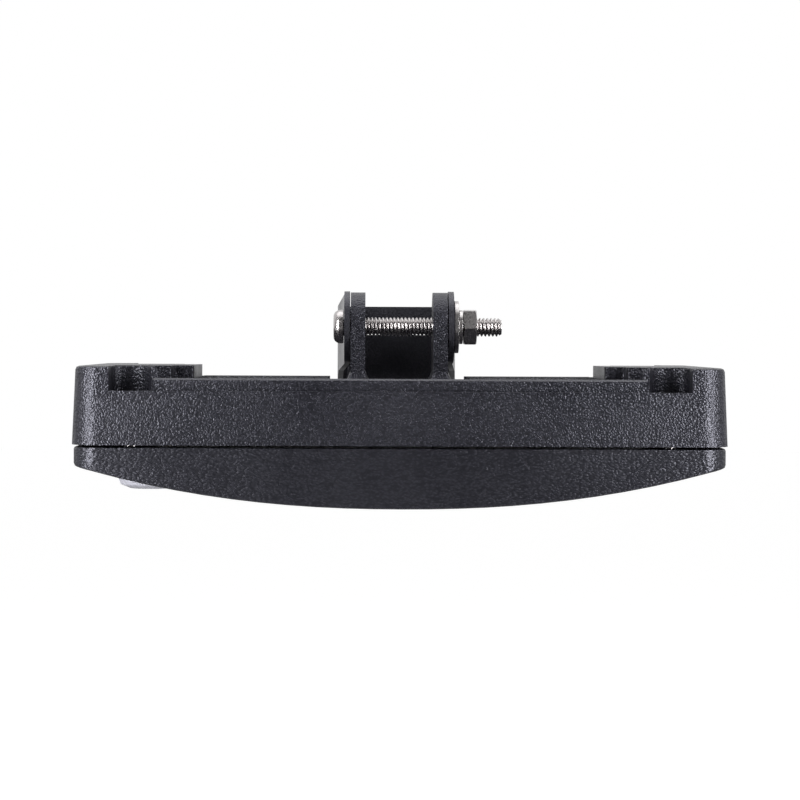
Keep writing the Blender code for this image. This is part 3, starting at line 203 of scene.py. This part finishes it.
# %% [markdown]
# ## Textured powder coat on die-cast aluminium and sheet steel
# The housing and the front frame are pressure die castings, and the strap is sheet
# steel. All are sprayed with polyester powder and baked. Polyester is a plastic, so
# metallic is 0 and the IOR is 1.5, and the half gloss makes each pebble catch the side
# lights as a dot. The pigment is graphite with a cool cast. The valleys between the
# pebbles are given painted shade, a darker colour where light hardly gets in. The bump
# is turned over, because the pattern's distance is least in the middle of a pebble,
# where the skin is highest. The front's pebbles are drawn out along its length, and the
# strap's lie flat because sheet steel is smooth.

# %% Powder coat
COAT_ROUGH = 0.36
# The span of pebble distance over which the painted valley shade fades in.
VALLEY_SHADE_FROM, VALLEY_SHADE_TO = 0.2, 0.6
CLOUD_MM = 28


# The second colour, dark, is painted shade for the valleys between the pebbles.
def powder_coat(name, colour, dark, width_mm, depth_mm, stretch=(1.0, 1.0, 1.0)):
    material, shader = begin(name, Roughness=COAT_ROUGH, Metallic=0.0, IOR=1.5)
    shader.inputs["Specular Tint"].default_value = linear("#F0F0FF")
    place = add(material, "ShaderNodeTexCoord").outputs["Object"]
    laid = add(material, "ShaderNodeMapping", {"Scale": stretch}, {"Vector": place})
    distance = pebbles(material, laid.outputs["Vector"], width_mm)
    bump = add(
        material,
        "ShaderNodeBump",
        {"Strength": 1.0, "Distance": depth_mm * MM},
        {"Height": distance},
        invert=True,
    )
    # Painted shade: the valleys between the pebbles are mixed towards the darker colour.
    valley_shade_mask = add(
        material,
        "ShaderNodeMapRange",
        {"From Min": VALLEY_SHADE_FROM, "From Max": VALLEY_SHADE_TO, "To Min": 0.0, "To Max": 1.0},
        {"Value": distance},
    )
    tone = add(
        material,
        "ShaderNodeMix",
        {6: linear(colour), 7: linear(dark)},
        {0: valley_shade_mask.outputs["Result"]},
        data_type="RGBA",
    )
    cloud = add(
        material,
        "ShaderNodeTexNoise",
        {"Scale": grain(CLOUD_MM), "Detail": 2.0},
        {"Vector": place},
    )
    drift(material, shader, cloud.outputs["Fac"], COAT_ROUGH, 0.04, 0.05)
    connect(material, bump.outputs["Normal"], shader, "Normal")
    connect(material, tone.outputs[2], shader, "Base Color")
    return material


# %% The three coats
# Each coat's second colour is the painted shade of its pebbles' valleys.
drawn_out = (0.6, 1.0, 1.0)
housing_coat = powder_coat("powder_coat_on_cast_back", "#1F1F25", "#0E0E12", 0.62, 0.20)
frame_coat = powder_coat(
    "powder_coat_on_cast_front", "#1D1D22", "#0E0E12", 0.6, 0.22, drawn_out
)
strap_coat = powder_coat("powder_coat_on_sheet_steel", "#28282C", "#1C1C20", 0.7, 0.08)
print("coats:", housing_coat.name, frame_coat.name, strap_coat.name)

# %% [markdown]
# ## Bare metals
# The pivot bolt, its nut and its washers are bare stainless steel. The nut and washers
# are stamped and tumbled, which leaves a soft shine with faint marks, and the thread is
# rolled, which leaves its flanks brighter. The small screws are zinc plated, the clips
# are rolled spring steel and the sensor's nut is turned brass. A metal's colour is its
# reflection, so the base colour is light, metallic is 1 and the IOR stays as it is. One
# noise makes the marks: it tarnishes the colour, and it goes into roughness and a very
# low bump.

# %% Bare metal
def bare_metal(name, colour, rough, mark_mm, depth_mm, tarnish="#8A8687"):
    material, shader = begin(name, Metallic=1.0, Roughness=rough)
    place = add(material, "ShaderNodeTexCoord").outputs["Object"]
    marks = add(
        material,
        "ShaderNodeTexNoise",
        {"Scale": grain(mark_mm), "Detail": 4.0, "Roughness": 0.6},
        {"Vector": place},
    ).outputs["Fac"]
    tone = add(
        material,
        "ShaderNodeMix",
        {6: linear(colour), 7: linear(tarnish)},
        {0: marks},
        data_type="RGBA",
    )
    bump = add(
        material,
        "ShaderNodeBump",
        {"Strength": 0.4, "Distance": depth_mm * MM},
        {"Height": marks},
    )
    drift(material, shader, marks, rough, 0.07, 0.09)
    connect(material, tone.outputs[2], shader, "Base Color")
    connect(material, bump.outputs["Normal"], shader, "Normal")
    return material


# %% The metals
bolt_steel = bare_metal("stainless_steel_rolled_thread", "#CFCBCA", 0.26, 0.5, 0.02)
stamped_steel = bare_metal("stainless_steel_stamped", "#D3D0CF", 0.30, 0.7, 0.03)
screw_steel = bare_metal("zinc_plated_steel", "#B9BABC", 0.34, 0.4, 0.02, "#8A8B8C")
spring_clip = bare_metal("spring_steel_rolled", "#B4B2AD", 0.33, 0.9, 0.02)
brass = bare_metal("brass_turned", "#C9A75E", 0.28, 0.5, 0.02, "#9C7B3C")
print("materials so far:", len(bpy.data.materials))

# %% [markdown]
# ## Moulded plastics and rubber
# The gland, vent and sensor parts are injection moulded. Nylon comes out of a sparked
# mould with a fine matt grain, so its highlights are broad. Silicone rubber is matt and
# slightly dusty and hardly shines. The grey polycarbonate of the pod has a coarser
# grain, which softens the light on it. Each needs one fine bump, a second colour that
# follows it, and a roughness that drifts as the melt flowed. Grains that are finer than
# 0.25 mm wouldn't show, so the finest are drawn that coarse.

# %% Moulded plastic and rubber
FLOW_MM = 9


def moulded(name, colour, second, rough, grain_mm, depth_mm, ior=1.46):
    material, shader = begin(name, Roughness=rough, IOR=ior)
    place = add(material, "ShaderNodeTexCoord").outputs["Object"]
    spark = add(
        material,
        "ShaderNodeTexNoise",
        {"Scale": grain(grain_mm), "Detail": 2.0},
        {"Vector": place},
    ).outputs["Fac"]
    flow = add(
        material,
        "ShaderNodeTexNoise",
        {"Scale": grain(FLOW_MM), "Detail": 1.0},
        {"Vector": place},
    )
    tone = add(
        material,
        "ShaderNodeMix",
        {6: linear(colour), 7: linear(second)},
        {0: spark},
        data_type="RGBA",
    )
    bump = add(
        material,
        "ShaderNodeBump",
        {"Strength": 0.6, "Distance": depth_mm * MM},
        {"Height": spark},
    )
    drift(material, shader, flow.outputs["Fac"], rough, 0.05, 0.07)
    connect(material, tone.outputs[2], shader, "Base Color")
    connect(material, bump.outputs["Normal"], shader, "Normal")
    return material


# %% The plastics and rubbers
black_nylon = moulded("nylon_moulded_black", "#1D1D1E", "#242425", 0.45, 0.25, 0.03)
natural_nylon = moulded("nylon_moulded_natural", "#DAD4C4", "#E2DDD0", 0.45, 0.3, 0.02)
silicone = moulded(
    "silicone_rubber_moulded", "#161616", "#1C1C1C", 0.75, 0.4, 0.03, ior=1.41
)
gap_pad = moulded("silicone_gap_pad_calendered", "#8E959C", "#99A0A6", 0.8, 0.5, 0.04)
pod_plastic = moulded(
    "polycarbonate_sparked_grey", "#A3A3AC", "#B4B4BE", 0.5, 0.8, 0.12, ior=1.58
)
driver_case = moulded(
    "polycarbonate_moulded_pale", "#C9C9C5", "#D2D2CE", 0.5, 0.3, 0.02, ior=1.58
)
cell_resin = moulded("epoxy_coated_light_cell", "#8C4A38", "#A05A44", 0.25, 0.6, 0.01)
print("materials so far:", len(bpy.data.materials))

# %% [markdown]
# ## Window glass and mirror film
# The window is flat tempered glass, clear with the faint green of its iron, and the
# rollers of the furnace leave a slow wave that bends reflections a little. Its walls
# are real, so full transmission at the IOR of glass is enough. Behind it a moulded tray
# is metallised to a mirror with a little haze, which is a bare metal with wide marks.

# %% Glass and mirror film
WAVE_MM = 40
window_glass, glass_shader = begin(
    "tempered_glass_clear", Roughness=0.02, IOR=1.52, Transmission_Weight=1.0
)
glass_shader.inputs["Base Color"].default_value = linear("#F1F8F5")
glass_place = add(window_glass, "ShaderNodeTexCoord").outputs["Object"]
glass_wave = add(
    window_glass,
    "ShaderNodeTexNoise",
    {"Scale": grain(WAVE_MM), "Detail": 1.0},
    {"Vector": glass_place},
)
glass_bump = add(
    window_glass,
    "ShaderNodeBump",
    {"Strength": 0.05, "Distance": 0.1 * MM},
    {"Height": glass_wave.outputs["Fac"]},
)
connect(window_glass, glass_bump.outputs["Normal"], glass_shader, "Normal")
mirror_film = bare_metal(
    "polycarbonate_metallised", "#DEDEDC", 0.16, 2.0, 0.01, "#CFCFCD"
)
print("glass and film:", window_glass.name, mirror_film.name)

# %% [markdown]
# ## The light board
# The board is a sheet of aluminium under white solder mask, and each light is a pale
# ceramic square with a dome of clear silicone over yellow phosphor. They are all one
# solid with one slot. The domes reach lower than the board and the squares, so a test
# of height picks the yellow for them.

# %% Light board
DOME = 1.8 * MM
DOME_SLACK = 0.05 * MM
board_low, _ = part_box("led_board")
board_mask, board_shader = begin("solder_mask_white", Roughness=0.42, IOR=1.5)
board_place = add(board_mask, "ShaderNodeTexCoord").outputs["Object"]
board_height = add(board_mask, "ShaderNodeSeparateXYZ", links={"Vector": board_place})
is_dome = add(
    board_mask,
    "ShaderNodeMath",
    {1: board_low.z + DOME - DOME_SLACK},
    {0: board_height.outputs["Z"]},
    operation="LESS_THAN",
)
board_grain = add(
    board_mask,
    "ShaderNodeTexNoise",
    {"Scale": grain(0.6), "Detail": 2.0},
    {"Vector": board_place},
)
board_tone = add(
    board_mask,
    "ShaderNodeMix",
    {6: linear("#E8E8E3"), 7: linear("#DFDFDA")},
    {0: board_grain.outputs["Fac"]},
    data_type="RGBA",
)
board_colour = add(
    board_mask,
    "ShaderNodeMix",
    {7: linear("#E7C64A")},
    {0: is_dome.outputs["Value"], 6: board_tone.outputs[2]},
    data_type="RGBA",
)
connect(board_mask, board_colour.outputs[2], board_shader, "Base Color")
print("domes below z in mm:", round((board_low.z + DOME) / MM, 2))

# %% [markdown]
# ## Finishes on the solids
# Every solid gets the finish of its real piece, in the one material slot that it has. A
# table of names is easier to check than a line of code for each. Pieces that come more
# than once share a name with a number, so the table for them leaves the number off.

# %% Give each solid its finish
finishes = {
    "rear_housing": housing_coat,
    "front_frame": frame_coat,
    "bracket": strap_coat,
    "flat_washer": stamped_steel,
    "lock_washer": stamped_steel,
    "hex_nut": stamped_steel,
    "tilt_bolt": bolt_steel,
    "frame_gasket": silicone,
    "lens_gasket": silicone,
    "glass_lens": window_glass,
    "thermal_pad": gap_pad,
    "led_board": board_mask,
    "reflector": mirror_film,
    "driver": driver_case,
    "terminal_block": natural_nylon,
    "gland_body": black_nylon,
    "gland_cap": black_nylon,
    "gland_locknut": black_nylon,
    "gland_seal": silicone,
    "vent_plug": black_nylon,
    "sensor_cover": pod_plastic,
    "sensor_base": black_nylon,
    "sensor_cell": cell_resin,
    "sensor_nut": brass,
    "glass_clip": spring_clip,
    "clip_screw": screw_steel,
    "reflector_screw": screw_steel,
    "driver_screw": screw_steel,
    "frame_screw": bolt_steel,
}


def kind_of(name):
    """A node's name without the number of a repeated piece."""
    return name.rstrip("0123456789").rstrip("_")


for name, piece in nodes.items():
    piece.material_slots[0].material = finishes[kind_of(name)]
print("finished solids:", len(nodes))

# %% [markdown]
# ## Joining the solids' corners
# The solids arrive as loose triangles, and a bevel only works where faces share their
# edges. A small node group joins the corners, drops the normals that came along and
# asks for smooth shading. It is a modifier, so the solids themselves stay as they are.

# %% Weld and smooth
WELD = 0.001 * MM
weld = bpy.data.node_groups.new("weld_and_smooth", "GeometryNodeTree")
for way in ("INPUT", "OUTPUT"):
    weld.interface.new_socket("Geometry", in_out=way, socket_type="NodeSocketGeometry")
loose = add(weld, "NodeGroupInput").outputs[0]
joined = add(weld, "GeometryNodeMergeByDistance", {"Distance": WELD}, {0: loose})
plain = add(
    weld, "GeometryNodeSetMeshNormal", {"Remove Custom": True}, {0: joined.outputs[0]}
)
smooth = add(weld, "GeometryNodeSetShadeSmooth", links={0: plain.outputs[0]})
add(weld, "NodeGroupOutput", links={0: smooth.outputs[0]})
print("nodes in", weld.name + ":", len(weld.nodes))

# %% [markdown]
# ## Rounded edges
# No edge of a casting, a stamping or a moulding is a knife edge: the mould or the tool
# leaves a small radius, and that thin line of light is what makes a piece look real.
# Flat areas are first merged, so that the bevel doesn't follow every triangle, and then
# every edge that is sharper than the solids' own facets is rounded. Weighted normals
# keep the large faces flat in the light. The radii are those of each way of making.

# %% Round the edges of every solid
EDGE_ANGLE = math.radians(33)
FLAT_ANGLE = math.radians(0.3)
FLAT_WEIGHT = 60
PLAIN_EDGE_MM = 0.12
edge_radius_mm = {
    "rear_housing": 0.30,
    "front_frame": 0.25,
    "bracket": 0.25,
    "sensor_cover": 0.40,
    "hex_nut": 0.12,
    "flat_washer": 0.15,
    "lock_washer": 0.10,
    "glass_lens": 0.20,
    "glass_clip": 0.08,
    "driver": 0.40,
    "terminal_block": 0.25,
    "gland_cap": 0.30,
    "gland_body": 0.15,
    "vent_plug": 0.25,
}


def round_edges(piece, node):
    """The chain of modifiers that rounds a piece as its node is rounded."""
    joined_up = piece.modifiers.new("weld_and_smooth", "NODES")
    joined_up.node_group = weld
    flat = piece.modifiers.new("merge_flats", "DECIMATE")
    flat.decimate_type = "DISSOLVE"
    flat.angle_limit = FLAT_ANGLE
    edge = piece.modifiers.new("round_edges", "BEVEL")
    edge.width = edge_radius_mm.get(kind_of(node), PLAIN_EDGE_MM) * MM
    edge.segments = 2
    edge.limit_method = "ANGLE"
    edge.angle_limit = EDGE_ANGLE
    shade = piece.modifiers.new("even_shading", "WEIGHTED_NORMAL")
    shade.weight = FLAT_WEIGHT


for name, piece in nodes.items():
    round_edges(piece, name)
print("rounded edges on:", len(nodes), "solids")

# %% [markdown]
# ## Pieces that stand in for a solid
# A few solids are shown by a piece of this script, because the real one has a form that
# the solid leaves out. Such a piece can start from a copy of the solid's surface, which
# keeps every hole and corner in its place, and only the points that differ are moved.

# %% Make objects and stand-ins
def as_object(name, mesh, material, sharp=40):
    """An object from an edited mesh, smooth but for edges sharper than an angle."""
    data = bpy.data.meshes.new(name)
    mesh.to_mesh(data)
    mesh.free()
    data.materials.append(material)
    data.shade_smooth()
    data.set_sharp_from_angle(angle=math.radians(sharp))
    made = bpy.data.objects.new(name, data)
    bpy.context.scene.collection.objects.link(made)
    return made


def copied_mesh(node):
    """The solid's surface as a new mesh, with its loose corners joined."""
    mesh = bmesh.new()
    mesh.from_mesh(nodes[node].data)
    bmesh.ops.remove_doubles(mesh, verts=mesh.verts, dist=WELD)
    return mesh


def stand_in(name, mesh, node, material):
    """A mesh that is shown in a solid's place, with its edges rounded alike."""
    made = as_object(name, mesh, material, 180)
    round_edges(made, node)
    return made


# %% [markdown]
# ## The cast back's end blocks
# Each end block runs in towards the middle and ends in a plain face above the fins. On
# the solid that face lies a little too far in, so it is drawn back on a copy. The
# points to move are found by their place: near the face along the lamp, above the deck
# between the fins, and within the block's width. The fins' roots are joined to the
# face, so they come along and the fins grow by the same amount.

# %% Cast back with its end faces drawn back
DRAWN_BACK = 3.7 * MM
FACE_X = 64.6 * MM
NEAR_SIDE, FAR_SIDE = 0.3 * MM, 1.6 * MM
DECK_BELOW_PIVOT = 21.2 * MM
BLOCK_HALF = 22.6 * MM

cast = copied_mesh("rear_housing")
deck_z = pivot.z - DECK_BELOW_PIVOT
drawn = 0
for v in cast.verts:
    at_face = FACE_X - NEAR_SIDE < abs(v.co.x) < FACE_X + FAR_SIDE
    if at_face and v.co.z > deck_z and abs(v.co.y - pivot.y) < BLOCK_HALF:
        v.co.x += math.copysign(DRAWN_BACK, v.co.x)
        drawn += 1
cast_back = stand_in("cast_back", cast, "rear_housing", housing_coat)
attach(cast_back, "lamp_head")
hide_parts("rear_housing")
print("points drawn back:", drawn)

# %% [markdown]
# ## The bent strap
# The bracket is one strip of steel, blanked with round ends and bent twice. The solid's
# strip is a little wider than the real one, so a strip of the true width stands for it.
# It starts from the solid's own points, and only those near the strip's edges come in:
# straight across along the arms, and towards the pivot round the ends. Measuring along
# and across the tipped arms, and not along the world's axes, keeps the edges straight.

# %% Strap of the true width
STRAP_HALF = 12.1 * MM
EDGE_BAND = 8.0 * MM
along_arm = Vector((0.0, pivot.y, pivot.z)).normalized()
across = Vector((0.0, -along_arm.z, along_arm.y))

strip = copied_mesh("bracket")
solid_half = max(abs(v.co.dot(across)) for v in strip.verts)
share = STRAP_HALF / solid_half
for v in strip.verts:
    out, wide = (v.co - pivot).dot(along_arm), v.co.dot(across)
    if out > 0 and math.hypot(out, wide) > EDGE_BAND:
        v.co += (share - 1) * (out * along_arm + wide * across)
    elif out <= 0 and abs(wide) > EDGE_BAND:
        v.co += (share - 1) * wide * across
print("strap half width in mm:", round(STRAP_HALF / MM, 1), round(solid_half / MM, 1))

# %% [markdown]
# The web between the two bends is deeper than the arms, on the side of the lamp's back.
# Two cuts across the arms give the strip new points there, and those behind the second
# cut go down. The step starts behind the lamp's edge, and from rest the lamp only turns
# away from it, so it clears the lamp at every tilt.

# %% Deeper web
LIP_START, LIP_FULL = -14 * MM, -8 * MM
LIP_DROP = 3.2 * MM
HAIR = 0.01 * MM

for y in (LIP_START, LIP_FULL):
    everything = strip.verts[:] + strip.edges[:] + strip.faces[:]
    bmesh.ops.bisect_plane(
        strip, geom=everything, plane_co=(0, y, 0), plane_no=(0, 1, 0)
    )
for v in strip.verts:
    if v.co.y > LIP_FULL - HAIR and v.co.z < -EDGE_BAND:
        v.co.z -= LIP_DROP
strap = stand_in("bent_strap", strip, "bracket", strap_coat)
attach(strap, "strap")
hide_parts("bracket")
web_foot = min(v.co.z for v in strap.data.vertices)
print("web's lower edge in mm:", round(web_foot / MM, 1))

# %% [markdown]
# ## The pivot bolt and its thread
# The bolt is a quarter inch machine bolt with twenty turns to the inch, threaded all
# the way to its head. The thread is one long helix: the radius at a point depends on
# how far along the bolt and how far round it is. A grid of points, some to each turn
# along and some round, carries that rule and costs far less than cutting a groove.

# %% Shape of a rolled thread
INCH = 25.4 * MM
PITCH = INCH / 20
CREST = INCH / 8
ROOT = CREST - 0.60 * PITCH
FLAT_ROOT, FLANK = 0.10, 0.72
FULLNESS = 0.8


def thread_radius(along, share_round):
    """The rounded zigzag of a rolled thread, one crest to each pitch."""
    phase = (along / PITCH - share_round) % 1.0
    rise = 1 - abs(2 * phase - 1)
    level = min(1.0, max(0.0, (rise - FLAT_ROOT) / FLANK))
    return ROOT + (CREST - ROOT) * (level * level * (3 - 2 * level)) ** FULLNESS


print("thread depth in mm:", round((CREST - ROOT) / MM, 2))

# %% [markdown]
# Everything turned or rolled can be built from rings of points, joined one to the next
# and closed at both ends. The rings lie round the pivot axis, and each has either one
# radius or a rule that gives one for every point.

# %% Rings round the bolt's axis
POINTS_ROUND = 40


def around(x, radius):
    """A ring of points at a place along the bolt."""
    ring = []
    for k in range(POINTS_ROUND):
        part = k / POINTS_ROUND
        r = radius(x, part) if callable(radius) else radius
        angle = math.tau * part
        ring.append((x, pivot.y + r * math.cos(angle), pivot.z + r * math.sin(angle)))
    return ring


def closed_tube(rings):
    """A mesh through rings of points, closed by a fan at each end."""
    mesh = bmesh.new()
    loops = [[mesh.verts.new(point) for point in ring] for ring in rings]
    for low, high in zip(loops, loops[1:]):
        for i, corner in enumerate(low):
            j = (i + 1) % len(low)
            mesh.faces.new((corner, low[j], high[j], high[i]))
    for loop in (loops[0], loops[-1]):
        middle = mesh.verts.new(sum((v.co for v in loop), Vector()) / len(loop))
        for i, corner in enumerate(loop):
            mesh.faces.new((corner, loop[(i + 1) % len(loop)], middle))
    bmesh.ops.recalc_face_normals(mesh, faces=mesh.faces)
    return mesh


print("points in a ring:", POINTS_ROUND)

# %% [markdown]
# The thread starts under the head. Over its last turn a real bolt is tapered, so that
# the nut finds its way on, and there the radius is held under a limit that falls to the
# root at the tip.

# %% Bolt with a rolled thread
RINGS_PER_TURN = 8
HEAD_HEIGHT = 3.4 * MM
seat_x = bolt_low.x + HEAD_HEIGHT
tip_x = bolt_high.x
steps = int((tip_x - seat_x) / PITCH * RINGS_PER_TURN)

rings = []
for k in range(steps + 1):
    x = seat_x + (tip_x - seat_x) * k / steps
    turns_left = (tip_x - x) / PITCH
    if turns_left < 1.0:
        limit = ROOT + (CREST - ROOT) * turns_left
        rings.append(around(x, lambda a, b: min(limit, thread_radius(a, b))))
    else:
        rings.append(around(x, thread_radius))
thread = as_object("bolt_thread", closed_tube(rings), bolt_steel, 60)
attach(thread, "strap")
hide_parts("tilt_bolt")
print("thread turns:", round((tip_x - seat_x) / PITCH, 1))

# %% [markdown]
# The head is low and domed, with a hexagon socket in its end. Its outline is turned
# round the bolt's axis: a flat seat with a broken edge, and a quarter of an oval from
# there to the crown. The socket's walls then step in from a ring with six sides.

# %% Bolt head
CROWN, SHOULDER = 0.62, 0.28
DOME_STEPS = 8
SOCKET = 2.35 * MM
SOCKET_RIM = 1.12
SOCKET_LIP, SOCKET_DEPTH = 0.15 * MM, 1.7 * MM
head_radius = (bolt_high.y - bolt_low.y) / 2


def hexagon_radius(x, part):
    """The radius of a hexagon, measured corner to middle, at a share of its round."""
    side = (part * 6) % 1.0
    return SOCKET * math.cos(math.pi / 6) / math.cos((side - 0.5) * math.pi / 3)


profile = [(0.55, 0.0), (0.97, 0.0), (1.0, 0.04)]
for k in range(DOME_STEPS + 1):
    angle = math.pi / 2 * k / DOME_STEPS
    r = CROWN + (1 - CROWN) * math.cos(angle)
    profile.append((r, SHOULDER + (1 - SHOULDER) * math.sin(angle)))
rings = [around(seat_x - h * HEAD_HEIGHT, r * head_radius) for r, h in profile]
rings.append(around(bolt_low.x, SOCKET * SOCKET_RIM))
rings.append(around(bolt_low.x + SOCKET_LIP, hexagon_radius))
rings.append(around(bolt_low.x + SOCKET_DEPTH, hexagon_radius))
bolt_head = as_object("bolt_head", closed_tube(rings), bolt_steel, 35)
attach(bolt_head, "strap")
print("head width in mm:", round(2 * head_radius / MM, 1))

# %% [markdown]
# ## Grip ribs on the gland's cap
# A gland's cap is turned by hand, so its side carries fine ribs. Each is a slim rounded
# bar along the cap: a ball, drawn out along the gland's axis and sunk a little into the
# cap. All of them are one mesh, because they are moulded with the cap.

# %% Gland cap ribs
RIBS = 24
RIB_RADIUS = 0.42 * MM
RIB_STRETCH = 6.4
RIB_SUNK = 0.12 * MM
RIB_BACK = 0.7 * MM
cap_low, cap_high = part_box("gland_cap")
cap_middle = (cap_low + cap_high) / 2
cap_radius = (cap_high.x - cap_low.x) / 2

ribs = bmesh.new()
for k in range(RIBS):
    turn = Matrix.Rotation(math.tau * (k + 0.5) / RIBS, 4, "Y")
    ball = bmesh.ops.create_icosphere(ribs, subdivisions=2, radius=RIB_RADIUS)
    for v in ball["verts"]:
        v.co.y *= RIB_STRETCH
        v.co = turn @ (v.co + Vector((0, 0, cap_radius - RIB_SUNK)))
        v.co += Vector((cap_middle.x, cap_middle.y - RIB_BACK, cap_middle.z))
cap_ribs = as_object("gland_cap_ribs", ribs, black_nylon, 180)
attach(cap_ribs, "lamp_head")
print("ribs:", RIBS, "on a cap of radius in mm:", round(cap_radius / MM, 1))

# %% [markdown]
# ## Lights
# Four soft lights do all the drawing: a broad one overhead, a faint one high in front,
# and a tall thin strip a little in front of each end. The strips graze the long wall,
# so the pebbles shine as dots near the ends, and draw a bright band down the rounded
# corners. The left one is a little stronger.

# %% Lights
centre = (Vector(solid_box[0]) + Vector(solid_box[1])) / 2


def soft_light(name, offset, size, watts):
    """A rectangle of light, placed from the lamp's middle and turned towards it."""
    light = bpy.data.lights.new(name, "AREA")
    light.shape = "RECTANGLE"
    light.size, light.size_y = size
    light.energy = watts
    made = bpy.data.objects.new(name, light)
    bpy.context.scene.collection.objects.link(made)
    made.location = centre + Vector(offset)
    made.rotation_mode = "QUATERNION"
    made.rotation_quaternion = (centre - made.location).to_track_quat("-Z", "Y")


soft_light("overhead", (0, 0.1, 0.9), (1.2, 0.9), 5.2)
soft_light("front_top", (0, -0.75, 0.55), (0.6, 0.3), 0.08)
soft_light("left_strip", (-0.25, -0.23, 0.05), (0.05, 0.4), 2.05)
soft_light("right_strip", (0.25, -0.23, 0.05), (0.05, 0.4), 1.8)
print("lights:", len(bpy.data.lights))

# %% [markdown]
# ## White world
# Light Path tells the shader what kind of ray is asking. Camera rays, and rays that
# come through the glass, see plain white. All other rays, which light the lamp and
# make its reflections, see a sweep: white behind the lamp, falling to a dark grey in
# front of it, as in a studio whose white screen stands behind the object. So the faces
# that look at the camera stay dark, and metal still mirrors the white of the screen.

# %% World
SWEEP_FROM, SWEEP_TO = -0.30, 0.25
DARK_SIDE = 0.07
world = bpy.data.worlds.new("white_studio")
bpy.context.scene.world = world
world.use_nodes = True
background = world.node_tree.nodes["Background"]
ray = add(world, "ShaderNodeLightPath")
seen = add(
    world,
    "ShaderNodeMath",
    links={0: ray.outputs["Is Camera Ray"], 1: ray.outputs["Is Transmission Ray"]},
    operation="MAXIMUM",
)
toward = add(world, "ShaderNodeTexCoord").outputs["Generated"]
parts = add(world, "ShaderNodeSeparateXYZ", links={"Vector": toward})
sweep = add(
    world,
    "ShaderNodeMapRange",
    {"From Min": SWEEP_FROM, "From Max": SWEEP_TO, "To Min": DARK_SIDE, "To Max": 1.0},
    {"Value": parts.outputs["Y"]},
    interpolation_type="SMOOTHSTEP",
)
level = add(
    world,
    "ShaderNodeMath",
    links={0: sweep.outputs["Result"], 1: seen.outputs["Value"]},
    operation="MAXIMUM",
)
background.inputs["Color"].default_value = (1, 1, 1, 1)
world.node_tree.links.new(level.outputs["Value"], background.inputs["Strength"])
print("world:", world.name, "dark side:", DARK_SIDE)

# %% [markdown]
# ## Pale floor
# The floor is matt paper, well below the lamp, and keeps its shadow. Lit as little as
# the lamp it would look grey, so for the camera alone a glow is added that lifts it to
# white. Its back is clear, so that the lamp can also be looked at from below.

# %% Floor
FLOOR_HALF = 6.0
FLOOR_DROP = 0.25
GLOW = 0.74
floor_paper, floor_shader = begin("paper_matt_white", Roughness=0.9)
floor_shader.inputs["Base Color"].default_value = linear("#A6A6A6")
floor_ray = add(floor_paper, "ShaderNodeLightPath")
glow = add(floor_paper, "ShaderNodeEmission", {"Color": (1, 1, 1, 1), "Strength": GLOW})
lifted = add(
    floor_paper,
    "ShaderNodeAddShader",
    links={0: floor_shader.outputs["BSDF"], 1: glow.outputs["Emission"]},
)
from_above = add(
    floor_paper,
    "ShaderNodeMixShader",
    links={
        0: floor_ray.outputs["Is Camera Ray"],
        1: floor_shader.outputs["BSDF"],
        2: lifted.outputs["Shader"],
    },
)
side = add(floor_paper, "ShaderNodeNewGeometry")
clear = add(floor_paper, "ShaderNodeBsdfTransparent")
one_sided = add(
    floor_paper,
    "ShaderNodeMixShader",
    links={
        0: side.outputs["Backfacing"],
        1: from_above.outputs["Shader"],
        2: clear.outputs["BSDF"],
    },
)
floor_out = floor_paper.node_tree.nodes["Material Output"]
connect(floor_paper, one_sided.outputs["Shader"], floor_out, "Surface")

floor_z = solid_box[0][2] - FLOOR_DROP
floor_mesh = bmesh.new()
corners = [
    floor_mesh.verts.new((sx * FLOOR_HALF, sy * FLOOR_HALF, floor_z))
    for sx, sy in ((-1, -1), (1, -1), (1, 1), (-1, 1))
]
floor_mesh.faces.new(corners)
floor = as_object("floor", floor_mesh, floor_paper)
print("floor below the lamp in mm:", round(FLOOR_DROP / MM))

# %% [markdown]
# ## Camera
# The photograph was taken with a long lens from about 0.8 metres, looking at the long
# side from just above the parting line. Where the two ends' edges and the deck seem to
# run together gives the camera's turn, and the parting line's slant gives its roll. The
# lens is given by its focal length in pixels over the picture's width in pixels.

# %% Camera
FOCAL_PIXELS, FRAME_PIXELS = 2505, 800
SENSOR = 36.0
PARTING_BELOW_PIVOT = 38.5 * MM
FROM_PARTING = Vector((-11.8 * MM, -855 * MM, 33.7 * MM))
yaw, pitch, roll = math.radians(0.823), math.radians(1.35), math.radians(0.25)

camera_data = bpy.data.cameras.new("camera")
camera_data.sensor_width = SENSOR
camera_data.lens = FOCAL_PIXELS / FRAME_PIXELS * SENSOR
camera_data.clip_start, camera_data.clip_end = 0.01, 20
camera = bpy.data.objects.new("camera", camera_data)
bpy.context.scene.collection.objects.link(camera)
parting = Vector((0.0, pivot.y, pivot.z - PARTING_BELOW_PIVOT))
camera.location = parting + FROM_PARTING
look = Vector(
    (math.sin(yaw) * math.cos(pitch), math.cos(yaw) * math.cos(pitch), -math.sin(pitch))
)
camera.rotation_mode = "QUATERNION"
camera.rotation_quaternion = look.to_track_quat("-Z", "Y") @ Quaternion((0, 0, 1), roll)
bpy.context.scene.camera = camera
bpy.context.scene.view_settings.view_transform = "Standard"
print("lens in mm:", round(camera_data.lens, 1))
